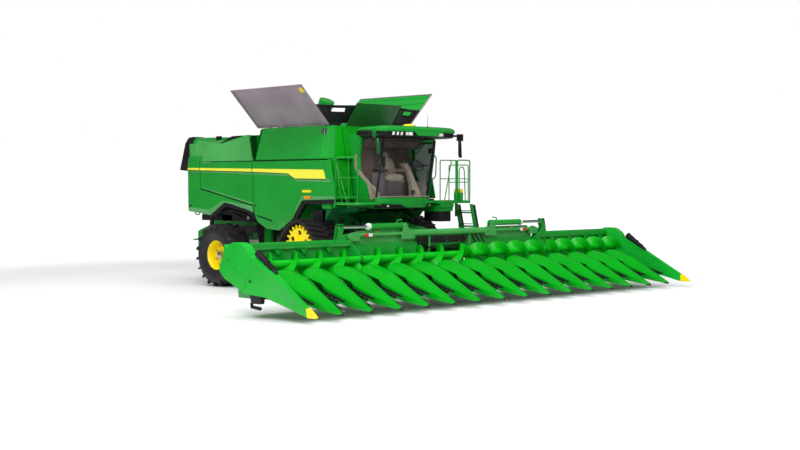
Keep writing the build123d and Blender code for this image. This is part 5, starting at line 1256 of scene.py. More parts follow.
LEAN = radians(36)
FLAP_Z = 3.905
FLAP_HALF = 0.729
FRONT_FLAP_Y, REAR_FLAP_Y = -2.4745, 0.0587
for label, hinge_y, toward in (("front", FRONT_FLAP_Y, -1), ("rear", REAR_FLAP_Y, 1)):
    body = f"tank_flap_{label}"

    def on_flap(up, lift):
        """Point (y, z) on a flap, up from its hinge and lifted towards the tank."""
        along = (toward * sin(LEAN), cos(LEAN))
        return (hinge_y + up * along[0] - toward * lift * cos(LEAN), FLAP_Z + up * along[1] + lift * sin(LEAN))

    def flap_section(*corners):
        """A section on a flap, from each corner's way up and lift."""
        return [on_flap(up, lift) for up, lift in corners]

    flap = Shape()
    flap.prism(0, flap_section((0.0, 0.004), (0.668, 0.004), (0.668, 0.009), (0.0, 0.009)), -FLAP_HALF, FLAP_HALF)
    for edge in ((-0.729, -0.705), (0.705, 0.729)):
        flap.prism(0, flap_section((0.02, 0.001), (0.668, 0.001), (0.668, 0.019), (0.02, 0.019)), *edge)
    for up in (0.02, 0.645):
        flap.prism(
            0, flap_section((up, 0.001), (up + 0.024, 0.001), (up + 0.024, 0.019), (up, 0.019)), -FLAP_HALF, FLAP_HALF
        )
    for up in (0.20, 0.34, 0.48):
        flap.prism(
            0, flap_section((up, 0.007), (up + 0.05, 0.007), (up + 0.04, 0.016), (up + 0.01, 0.016)), -0.66, 0.66
        )
    flap.tube([(-FLAP_HALF, hinge_y, FLAP_Z), (FLAP_HALF, hinge_y, FLAP_Z)], 0.0205, 20)
    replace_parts(piece(f"flap_sheet_{label}", flap, flap_sheet, body, bevel=0.003), f"tank_flap_{label}")

# Corner gussets: thin folding sheets between the flaps and the covers, with a window
gussets = Shape()
lips = Shape()
for hinge_y, toward, cover_end in ((FRONT_FLAP_Y, -1, -2.518), (REAR_FLAP_Y, 1, 0.108)):
    for side in (-1, 1):
        low = Vector((side * 0.732, hinge_y + toward * 0.04, 3.995))
        reach = 0.603
        top = Vector((side * 0.732, hinge_y + toward * reach * sin(LEAN), FLAP_Z + reach * cos(LEAN)))
        near = Vector((on_cover(side, 0.06, 0.005)[0], cover_end, on_cover(side, 0.06, 0.005)[1]))
        far = Vector((on_cover(side, 0.62, 0.005)[0], cover_end, on_cover(side, 0.62, 0.005)[1]))
        grid = []
        for r in range(9):
            row = []
            for c in range(13):
                u, v = c / 12, r / 8
                bottom_point = low.lerp(near, u)
                top_point = top.lerp(far, u)
                point = bottom_point.lerp(top_point, v)
                point.z -= 0.012 * sin(pi * u) * v
                row.append(gussets.mesh.verts.new(point))
            grid.append(row)
        for r in range(8):
            for c in range(12):
                if 5 <= r <= 6 and 3 <= c <= 7:
                    continue
                gussets.mesh.faces.new((grid[r][c], grid[r][c + 1], grid[r + 1][c + 1], grid[r + 1][c]))
        lips.tube([grid[8][c].co.copy() for c in range(13)], 0.008, 8)
        window = [grid[5][3], grid[5][5], grid[5][8], grid[6][8], grid[7][8], grid[7][5], grid[7][3], grid[6][3]]
        line = [v.co.copy() for v in window]
        lips.pipe(line + [line[0]], 0.03, 0.008, 6, steps=3)
cloth = piece("gusset_sheets", gussets, black_plastic, smooth=50)
solid = cloth.modifiers.new("solid", "SOLIDIFY")
solid.thickness = 0.006
solid.offset = 0
settle(cloth)
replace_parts(cloth, "tank_gussets")
edging = piece("gusset_lips", lips, black_plastic, smooth=60)
for soft in (cloth, edging):
    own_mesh(soft)

# ---------------------------------------------------------------- cab
ROOF = [
    (0.80, -2.90), (0.84, -3.06), (1.12, -3.30), (1.20, -3.60), (1.21, -4.08), (1.12, -4.27), (0.90, -4.34),
    (0.50, -4.40), (0.0, -4.415)
]


def roof_outline(draw):
    """The roof's plan, drawn in."""
    ring = []
    for x, y in around(ROOF[::-1]):
        reach = hypot(x, y + 3.5)
        scale = max(0.0, 1 - draw / reach)
        ring.append((x * scale, -3.5 + (y + 3.5) * scale))
    return ring


def roof_front(x):
    """y of the roof's front edge at a distance from the middle."""
    for (x0, y0), (x1, y1) in zip(ROOF[::-1], ROOF[-2::-1]):
        if x0 <= abs(x) <= x1:
            return y0 + (y1 - y0) * (abs(x) - x0) / (x1 - x0)
    return ROOF[0][1]


cap = Shape()
cap.skin([
    [(x, y, z) for x, y in roof_outline(d)]
    for d, z in ((0.06, 3.735), (0.0, 3.745), (0.0, 3.80), (0.035, 3.845), (0.12, 3.872), (0.30, 3.886))
])
visor = (-0.40, -0.25, 0.0, 0.25, 0.47)
front = [(x, roof_front(x) - 0.012, 3.76) for x in visor]
low = [(x * 0.78 + 0.02, roof_front(x) - 0.03, 3.655) for x in visor]
inner = [(x, y + 0.20, z) for x, y, z in low]
upper = [(x, y + 0.20, 3.80) for x, y, z in front]
cap.skin([upper, front, low, inner], closed=False, caps=False)
roof = piece("roof_cap", cap, green_paint, bevel=0.006, smooth=24)
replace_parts(roof, "cab_roof")
band = Shape()
band.skin([
    [(x, y, z) for x, y in roof_outline(d)] for d, z in ((0.14, 3.622), (0.05, 3.635), (0.025, 3.70), (0.035, 3.745))
])
for x in (-0.98, -0.86, -0.75, -0.53, 0.52, 0.68, 0.80):
    y = roof_front(x)
    band.box((x - 0.055, x + 0.055), (y - 0.006, y + 0.08), (3.645, 3.735))
piece("roof_band", band, black_plastic, bevel=0.008, smooth=30)
lamps = Shape()
for x, half in ((-0.98, 0.046), (-0.865, 0.042), (-0.755, 0.040), (-0.53, 0.090), (0.50, 0.085)):
    y0, y1 = roof_front(x - half), roof_front(x + half)
    lean = 0.02 if half < 0.05 else 0.0
    lamps.skin([
        [
            (x - half, y0 - 0.014, 3.655), (x + half - lean, y1 - 0.014, 3.655), (x + half, y1 - 0.014, 3.730),
            (x - half + lean, y0 - 0.014, 3.730)
        ],
        [
            (x - half, y0 + 0.02, 3.655), (x + half - lean, y1 + 0.02, 3.655), (x + half, y1 + 0.02, 3.730),
            (x - half + lean, y0 + 0.02, 3.730)
        ]
    ])
piece("roof_lamps", lamps, white_lens, bevel=0.008)
extras = Shape()
extras.lathe(
    (-0.10, -3.95, 0), 2, [(3.862, 0.0), (3.862, 0.13), (3.90, 0.145), (3.93, 0.12), (3.945, 0.0)], 32, closed=False
)
piece("receiver_dome", extras, yellow_paint, smooth=50)
mast = Shape().tube(
    [(0.42, -4.05, 3.86), (0.42, -4.05, 3.90), (0.42, -4.05, 3.91), (0.42, -4.05, 4.16)],
    [0.018, 0.018, 0.005, 0.004], 8
)
mast.tube([(0.70, -3.30, 3.87), (0.70, -3.30, 3.97)], 0.05, 16)
piece("roof_antenna", mast, black_plastic)

frame_green = Shape()
pillar = [(-2.62, 3.735), (-3.21, 3.735), (-3.06, 3.22), (-3.08, 2.80), (-3.36, 2.58), (-3.40, 2.16), (-2.62, 2.16)]
frame_green.slab(0, pillar, [0, 0.02, 0.1, 0.1, 0.08, 0.02, 0], -0.862, -0.80)
rear_post = rectangle((-2.62, -2.93), (3.735, 2.16))
frame_green.prism(0, rear_post, 0.79, 0.855)
frame_green.box((-0.86, 0.855), (-3.86, -2.60), (2.10, 2.16))
frame_green.box((-0.85, 0.85), (-3.62, -2.60), (1.985, 2.12))
for z0, z1 in ((2.16, 2.55), (3.45, 3.62)):
    frame_green.box((-0.80, 0.80), (-2.94, -2.885), (z0, z1))
frame_green.box((-0.80, -0.55), (-2.94, -2.885), (2.55, 3.45))
frame_green.box((0.55, 0.80), (-2.94, -2.885), (2.55, 3.45))
for side in (-1, 1):
    frame_green.box(span(side, 0.45, 1.60), (-2.92, -2.60), (1.985, 2.10))
# Lower front panel under the windscreen, bowed like the glass
bow = [
    (-0.87, -3.60), (-0.80, -3.73), (-0.55, -3.85), (-0.20, -3.90), (0.20, -3.90), (0.55, -3.85), (0.80, -3.73),
    (0.87, -3.60)
]
rings = []
for draw, z in ((0.03, 1.995), (0.0, 2.02), (-0.01, 2.12), (0.0, 2.235), (0.03, 2.25)):
    rings.append([(x, y + draw, z) for x, y in bow] + [(x * 0.9, y + 0.12, z) for x, y in reversed(bow)])
frame_green.skin(rings)
shell = piece("cab_frame", frame_green, green_paint, bevel=0.008)
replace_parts(shell, "cab_shell")
insert = Shape()
lower = [(-0.875, -3.615), (-0.81, -3.74), (-0.55, -3.862), (-0.32, -3.895)]
insert.skin(
    [[(x, y - 0.006, z) for x, y in lower] + [(x, y + 0.05, z) for x, y in reversed(lower)] for z in (2.000, 2.085)]
)
insert.skin([
    [(-0.32, -3.903, 2.00), (-0.12, -3.910, 2.00), (-0.32, -3.903, 2.085)],
    [(-0.32, -3.86, 2.00), (-0.12, -3.86, 2.00), (-0.32, -3.86, 2.085)]
])
insert.skin([
    [(0.60, -3.855, 2.0), (0.86, -3.66, 2.0), (0.86, -3.66, 2.10), (0.72, -3.79, 2.10)],
    [(0.60, -3.80, 2.0), (0.84, -3.60, 2.0), (0.84, -3.60, 2.10), (0.72, -3.74, 2.10)]
])
piece("cab_front_insert", insert, black_plastic, bevel=0.004)
dots = Shape()
for x, y in ((-0.66, -3.822), (0.78, -3.76)):
    dots.tube([(x, y + 0.02, 2.05), (x + copysign(0.004, x), y - 0.02, 2.05)], 0.024, 20)
piece("cab_front_lamps", dots, white_lens, bevel=0.003)
posts = Shape()
posts.tube([(-0.845, -3.625, 2.24), (-0.845, -3.74, 2.80), (-0.845, -3.90, 3.66)], 0.024, 12)
posts.tube([(0.835, -3.600, 2.24), (0.835, -3.70, 2.80), (0.835, -3.84, 3.66)], [0.055, 0.050, 0.042], 16)
posts.box((0.79, 0.875), (-3.70, -3.60), (3.30, 3.42))
posts.box((0.79, 0.875), (-3.66, -3.56), (2.52, 2.62))
piece("cab_posts", posts, black_plastic, bevel=0.003)
seal = Shape()
path = bent([
    (-0.868, -2.95, 3.25), (-0.868, -2.95, 2.93), (-0.868, -3.09, 2.80), (-0.868, -3.38, 2.57), (-0.868, -3.49, 2.20)
], 0.06)
seal.skin([[
    (-0.872, p.y - 0.055, p.z + 0.01), (-0.872, p.y + 0.03, p.z - 0.02), (-0.83, p.y + 0.03, p.z - 0.02),
    (-0.83, p.y - 0.055, p.z + 0.01)
] for p in path])
rings = []
for z in (2.250, 2.275):
    rings.append([(x, y - 0.008, z) for x, y in bow] + [(x * 0.97, y + 0.03, z) for x, y in reversed(bow)])
seal.skin(rings)
piece("cab_seals", seal, trim, bevel=0.003)

# Glass: a bowed windscreen, the right side window and the rear window
PANE_LOW, PANE_HIGH = 2.262, 3.64
glass_shape = Shape()
rings = []
for t in [k / 8 for k in range(9)]:
    z = PANE_LOW + (PANE_HIGH - PANE_LOW) * t
    ring = []
    for u in [k / 10 for k in range(11)]:
        x = -0.835 + 1.665 * u
        base = -3.615 + (-3.875 + 3.615) * t
        swell = (0.275 + 0.04 * t) * (1 - abs(2 * u - 1) ** 2.4)
        ring.append((x, base - swell, z))
    rings.append(ring)
glass_shape.skin(rings, closed=False, caps=False)
side_pane = [
    (-0.850, -2.95, 3.70), (-0.850, -3.88, 3.64), (-0.850, -3.62, 2.24), (-0.850, -3.42, 2.24), (-0.850, -3.38, 2.56),
    (-0.850, -3.08, 2.80), (-0.850, -2.98, 3.0)
]
glass_shape.mesh.faces.new([glass_shape.mesh.verts.new(p) for p in side_pane])
glass_shape.mesh.faces.new([
    glass_shape.mesh.verts.new(p)
    for p in [(-0.56, -2.90, 2.54), (0.56, -2.90, 2.54), (0.56, -2.90, 3.46), (-0.56, -2.90, 3.46)]
])
panes = piece("cab_panes", glass_shape, glass, smooth=60)
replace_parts(panes, "cab_glass")
wiper = Shape()
wiper.tube([(0.22, -4.215, 3.62), (-0.18, -4.20, 3.36), (-0.40, -4.155, 3.22)], 0.010, 8)
wiper.tube([(0.30, -4.215, 3.64), (-0.05, -4.205, 3.30), (-0.42, -4.12, 3.02)], 0.008, 8)
wiper.box((0.16, 0.34), (-4.24, -4.18), (3.60, 3.65))
piece("wiper", wiper, black_plastic, bevel=0.002)

# The door is hinged at its rear edge; its pane and frame
door = Shape()
outer = [(-2.925, 3.585), (-3.865, 3.585), (-3.80, 3.10), (-3.64, 2.195), (-2.925, 2.195)]
hole = [
    (-3.05, 3.53), (-3.795, 3.53), (-3.72, 3.05), (-3.60, 2.33), (-3.42, 2.33), (-3.32, 2.50), (-3.08, 2.80),
    (-3.05, 2.95)
]
cut = Shape().slab(0, hole, 0.04, 0.80, 0.95, steps=3)
door.prism(0, outer, 0.872, 0.898)
leaf = piece("door_frame", door, dark_leaf, "cab_door", bevel=0.004, cutter=cut)
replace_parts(leaf, "cab_door")
# The pane's pale, half-clear glass is painted reflection of the bright surroundings.
window = Shape().slab(0, hole, 0.04, 0.882, 0.888, steps=3)
piece("door_pane", window, reflection_painted_glass, "cab_door")
handle = Shape().pipe(
    [(0.90, -3.56, 2.62), (0.945, -3.56, 2.64), (0.945, -3.66, 3.05), (0.90, -3.66, 3.10)], 0.04, 0.012, 10
)
handle.pipe([(0.868, -3.50, 2.64), (0.83, -3.50, 2.66), (0.83, -3.56, 2.90), (0.868, -3.56, 2.92)], 0.03, 0.010, 10)
piece("door_handle", handle, black_plastic, "cab_door", smooth=60)
rail = Shape()
rail.pipe([
    (0.90, -3.66, 3.26), (1.02, -3.68, 3.26), (1.08, -3.70, 3.18), (1.06, -3.70, 2.74), (0.98, -3.68, 2.66),
    (0.90, -3.66, 2.66)
], 0.05, 0.013, 10)
piece("cab_grab_rail", rail, black_plastic, smooth=60)

# Interior
seat = Shape()
seat.stack(
    (-0.36, 0.14), (-3.50, -3.08), 0.07, ((2.62, 0.05), (2.66, 0.0), (2.74, -0.01), (2.79, 0.03), (2.80, 0.10))
)
rest = []
for t, draw, thick in (
    (0.0, 0.03, 0.09), (0.08, 0.0, 0.13), (0.35, 0.0, 0.15), (0.62, 0.01, 0.13), (0.74, 0.05, 0.11),
    (0.78, 0.12, 0.10), (0.98, 0.13, 0.09), (1.02, 0.17, 0.05)
):
    z = 2.74 + 0.58 * t
    y = -3.13 + 0.10 * t
    outline = rounded(rectangle((-0.35 + draw, 0.13 - draw), (y - thick, y)), 0.045)
    rest.append([(x, yy, z) for x, yy in outline])
seat.skin(rest)
for x in (-0.42, 0.15):
    seat.slab(0, [(-3.50, 2.86), (-3.12, 2.86), (-3.12, 2.93), (-3.48, 2.93)], 0.03, x, x + 0.06)
piece("seat_cushions", seat, trim, bevel=0.010, smooth=30)
base = Shape()
base.stack((-0.30, 0.08), (-3.42, -3.10), 0.04, ((2.16, 0.0), (2.26, 0.02), (2.50, 0.03), (2.62, 0.0)))
for k in range(9):
    z = 2.20 + 0.045 * k
    base.slab(0, rectangle((-3.46, -3.40), (z, z + 0.03)), 0.008, -0.52, 0.14, steps=2)
base.box((-0.54, -0.40), (-3.44, -3.10), (2.16, 2.84))
piece("seat_base", base, mat_grey, bevel=0.004)
column = Shape()
column.skin([
    [(x, y, z) for x, y in rounded(rectangle((cx - w, cx + w), (cy - d, cy + d)), min(w, d) * 0.5)]
    for cx, cy, z, w, d in (
        (0.42, -3.60, 2.16, 0.17, 0.13), (0.40, -3.60, 2.34, 0.13, 0.10), (0.34, -3.56, 2.60, 0.085, 0.07),
        (0.26, -3.52, 2.86, 0.07, 0.06), (0.18, -3.50, 3.00, 0.10, 0.08), (0.14, -3.48, 3.06, 0.09, 0.07)
    )
])
column.slab(0, [(-3.70, 2.16), (-3.10, 2.16), (-3.10, 2.58), (-3.30, 2.66), (-3.66, 2.30)], 0.05, 0.70, 0.78)
column.slab(
    0, [(-3.60, 2.16), (-2.96, 2.16), (-2.96, 2.58), (-3.20, 2.60), (-3.40, 2.50), (-3.60, 2.36)], 0.05, -0.79, -0.70
)
column.box((-0.52, 0.30), (-3.36, -3.30), (2.60, 2.66))
piece("cab_trim", column, trim, bevel=0.008, smooth=30)
controls = Shape()
wheel = []
for k in range(33):
    a = 2 * pi * k / 32
    wheel.append((0.44 + 0.20 * cos(a), -3.58 + 0.14 * sin(a), 3.02 + 0.135 * sin(a)))
controls.tube(wheel, 0.017, 10)
controls.tube([(0.25, -3.58, 3.02), (0.63, -3.58, 3.02)], 0.018, 10)
controls.tube([(0.44, -3.58, 3.02), (0.34, -3.56, 2.86)], 0.04, 14)
controls.slab(1, [(0.28, 2.95), (0.56, 2.95), (0.58, 3.09), (0.30, 3.11)], 0.03, -3.64, -3.60)
controls.tube([(0.56, -3.62, 3.02), (0.80, -3.62, 3.01)], 0.014, 8)
controls.slab(0, [(-3.62, 2.96), (-3.44, 2.96), (-3.40, 3.20), (-3.60, 3.20)], 0.02, -0.56, -0.53)
controls.tube([(-0.45, -3.45, 2.93), (-0.45, -3.50, 3.06)], [0.02, 0.03], 10)
controls.box((-0.60, -0.36), (-3.52, -3.20), (2.84, 2.90))
controls.pipe([(0.20, -3.66, 2.18), (0.20, -3.74, 2.22), (0.20, -3.76, 2.36)], 0.03, 0.014, 8)
controls.box((0.15, 0.25), (-3.79, -3.75), (2.32, 2.42))
inside = piece("cab_controls", controls, black_plastic, bevel=0.004)
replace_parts(inside, "cab_interior")
lining = Shape()
lining.box((-0.79, 0.79), (-2.96, -2.945), (2.16, 2.56))
lining.box((-0.79, -0.56), (-2.97, -2.945), (2.56, 3.45))
lining.box((0.56, 0.79), (-2.97, -2.945), (2.56, 3.45))
lining.box((-0.79, 0.79), (-2.96, -3.75), (3.60, 3.618))
lining.slab(0, [(-2.96, 3.42), (-3.30, 3.42), (-3.40, 3.60), (-2.96, 3.60)], 0.04, -0.79, 0.79)
lining.box((-0.795, -0.785), (-3.06, -2.95), (2.60, 3.60))
piece("cab_lining", lining, brown_lining, bevel=0.004)
curtain = Shape()
for k in range(7):
    x = -0.56 + 0.16 * k
    curtain.slab(2, rectangle((x, x + 0.15), (-2.985, -2.96)), 0.008, 2.56, 3.46, steps=2)
piece("rear_blind", curtain, brown_lining, bevel=0.003)

# Mirrors on their arms
arms = Shape()
arms.pipe([(-1.08, -3.25, 3.70), (-1.30, -3.50, 3.74), (-1.36, -3.95, 3.735), (-1.30, -4.05, 3.70)], 0.08, 0.030, 12)
arms.tube([(-1.30, -4.05, 3.72), (-1.30, -4.06, 3.58)], 0.018, 10)
arms.pipe([(0.95, -4.05, 3.66), (1.30, -4.02, 3.70), (1.80, -3.80, 3.72), (1.83, -3.77, 3.60)], 0.08, 0.026, 12)
arms.slab(2, [(1.76, -3.86), (1.90, -3.84), (1.90, -3.70), (1.76, -3.72)], 0.03, 3.60, 3.765)
supports = piece("mirror_arms", arms, black_plastic, bevel=0.004, smooth=40)
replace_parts(supports, "mirrors")
backs = Shape()
for x, y, half, low, high, turn in ((1.83, -3.77, 0.095, 3.195, 3.66, 0.6), (-1.27, -4.12, 0.075, 3.225, 3.58, 0.9)):
    rings = []
    for t, w in ((0.0, 0.80), (0.04, 0.95), (0.5, 1.0), (0.96, 1.0), (1.0, 0.85)):
        z = low + (high - low) * t
        lean = 0.03 * (1 - t)
        ring = []
        for px, py in rounded(rectangle((-half * w, half * w), (-0.030, 0.030)), 0.025):
            ring.append((x + lean + px * cos(turn) - py * sin(turn), y + px * sin(turn) + py * cos(turn), z))
        rings.append(ring)
    if x > 0:
        backs.skin(rings)
    else:
        right_back = Shape().skin(rings)
piece("mirror_left", backs, black_plastic, smooth=40)
piece("mirror_right", right_back, dark_leaf, smooth=40)
knob = Shape().lathe(
    (-1.30, -4.05, 0), 2, [(3.60, 0.0), (3.60, 0.035), (3.66, 0.05), (3.74, 0.04), (3.76, 0.0)], 20, closed=False
)
piece("mirror_knob", knob, dark_leaf, smooth=50)
glassy = Shape()
for x, y, half, low, high, turn in ((1.845, -3.77, 0.080, 3.23, 3.63, 0.6), (-1.26, -4.12, 0.060, 3.26, 3.55, 0.9)):
    ring = []
    for px, z in rounded(rectangle((-half, half), (low, high)), 0.02):
        ring.append((x + px * cos(turn) - 0.031 * sin(turn), y + px * sin(turn) + 0.031 * cos(turn), z))
    glassy.skin([ring, [(a - 0.004 * sin(turn), b + 0.004 * cos(turn), c) for a, b, c in ring]])
piece("mirror_faces", glassy, chrome)

# ---------------------------------------------------------------- platforms and railings
right = Shape()
right.slab(2, [
    (-0.87, -3.62), (-0.90, -2.95), (-1.64, -3.10), (-1.72, -3.26), (-1.71, -3.86), (-1.60, -3.96), (-1.20, -4.00),
    (-0.95, -3.86)
], 0.05, 2.085, 2.125)
rim_line = [
    (-1.64, -3.10, 2.105), (-1.72, -3.30, 2.105), (-1.71, -3.86, 2.105), (-1.58, -3.97, 2.105), (-1.18, -4.01, 2.105),
    (-0.93, -3.86, 2.105)
]
right.pipe(rim_line, 0.08, 0.035, 12)
right.box((-1.66, -0.90), (-3.62, -3.56), (2.02, 2.09))
right.box((-1.66, -0.90), (-3.12, -3.06), (2.02, 2.09))
deck_piece = piece("right_deck", right, green_paint, bevel=0.004, smooth=40)
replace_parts(deck_piece, "right_platform")
rails = Shape()
top = [(-1.66, -3.13, 3.12), (-1.69, -3.30, 3.16), (-1.69, -3.72, 3.16), (-1.66, -3.82, 3.15), (-1.64, -3.86, 3.08)]
rails.pipe([(-1.66, -3.13, 2.12)] + top + [(-1.64, -3.86, 2.12)], 0.05, 0.014, 10)
for height in (2.70, 2.26):
    rails.pipe(
        [(-1.66, -3.13, height), (-1.69, -3.30, height), (-1.69, -3.72, height), (-1.65, -3.84, height)], 0.05, 0.011,
        8
    )
rails.tube([(-1.69, -3.62, 2.12), (-1.69, -3.62, 3.15)], 0.012, 8)
rails.tube([(-1.62, -3.16, 3.10), (-1.62, -2.98, 3.12)], 0.012, 8)
rails.tube([(-1.63, -3.10, 3.14), (-1.64, -3.34, 2.12)], 0.010, 8)
rails.tube([(-1.58, -3.06, 3.14), (-1.58, -3.44, 2.12)], 0.010, 8)
piece("right_rails", rails, green_paint, smooth=60)

left = Shape()
left.slab(2, [(0.91, -3.99), (2.00, -3.99), (2.02, -3.60), (1.96, -3.24), (0.91, -3.24)], 0.04, 2.09, 2.15)
for k in range(14):
    left.box((0.98 + 0.07 * k, 1.0 + 0.07 * k), (-3.96, -3.27), (2.148, 2.160))
left.box((0.95, 1.40), (-3.98, -3.92), (2.0, 2.10))
left.box((0.95, 1.95), (-3.31, -3.25), (2.0, 2.10))
left.slab(0, rectangle((-3.95, -3.30), (1.90, 2.08)), 0.03, 0.98, 1.40)
deck_left = piece("left_deck", left, green_paint, bevel=0.004)
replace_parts(deck_left, "left_platform")
gates = Shape()
z0 = 2.15
gates.pipe([(0.93, -3.97, z0), (0.93, -3.97, 3.12), (1.48, -3.97, 3.12), (1.48, -3.97, z0)], 0.05, 0.014, 10)
gates.tube([(0.93, -3.97, 2.68), (1.48, -3.97, 2.68)], 0.011, 8)
gates.pipe([(1.54, -3.97, z0), (1.54, -3.97, 3.13), (2.0, -3.95, 3.13), (2.0, -3.95, z0)], 0.05, 0.016, 10)
gates.tube([(1.50, -3.97, z0), (1.50, -3.97, 3.13)], 0.022, 10)
gates.tube([(1.32, -3.97, 3.10), (1.08, -3.97, z0)], 0.013, 8)
gates.tube([(1.54, -3.97, 2.68), (2.0, -3.95, 2.68)], 0.011, 8)
gates.pipe(
    [(1.62, -3.95, z0), (1.62, -3.95, 2.92), (1.72, -3.95, 2.99), (1.80, -3.95, 2.92), (1.84, -3.95, z0)], 0.07,
    0.013, 10
)
gates.pipe([(1.98, -3.28, z0), (1.98, -3.28, 3.02), (2.0, -3.90, 3.02), (2.0, -3.90, z0)], 0.05, 0.013, 10)
gates.tube([(1.98, -3.28, 2.60), (2.0, -3.90, 2.60)], 0.011, 8)
gates.tube([(2.0, -3.93, 2.90), (1.99, -3.93, 2.86)], 0.024, 10)
piece("left_rails", gates, green_paint, smooth=60)
bottle = Shape().stack((1.60, 1.80), (-3.93, -3.78), 0.03, ((2.16, 0.0), (2.34, 0.0), (2.38, 0.02)))
piece("platform_box", bottle, green_paint, bevel=0.004)
lid = Shape().stack((1.605, 1.795), (-3.925, -3.785), 0.03, ((2.34, 0.0), (2.42, 0.0), (2.44, 0.02)))
piece("platform_box_lid", lid, yellow_paint, bevel=0.004)

# ---------------------------------------------------------------- tracks
CIRCLES = ((-3.26, 0.40, 0.40), (-1.30, 0.40, 0.40), (-2.27, 1.185, 0.570))


def belt_line(offset, count=720):
    """Points and normals, evenly spaced, of a taut belt round the wheels."""
    corners = []
    for k in range(count):
        a = 2 * pi * k / count
        n = Vector((cos(a), sin(a)))
        y, z, r = max(CIRCLES, key=lambda c: c[0] * n.x + c[1] * n.y + c[2])
        corners.append((Vector((y, z)) + n * (r + offset), n))
    lengths = [(corners[(k + 1) % count][0] - corners[k][0]).length for k in range(count)]
    total = sum(lengths)
    return corners, lengths, total


def belt_at(line, s):
    """The point and normal at a length along the belt."""
    corners, lengths, total = line
    s %= total
    for k, length in enumerate(lengths):
        if s <= length:
            t = s / length if length else 0
            first, second = corners[k], corners[(k + 1) % len(corners)]
            return first[0].lerp(second[0], t), first[1].lerp(second[1], t).normalized()
        s -= length
    return corners[0]


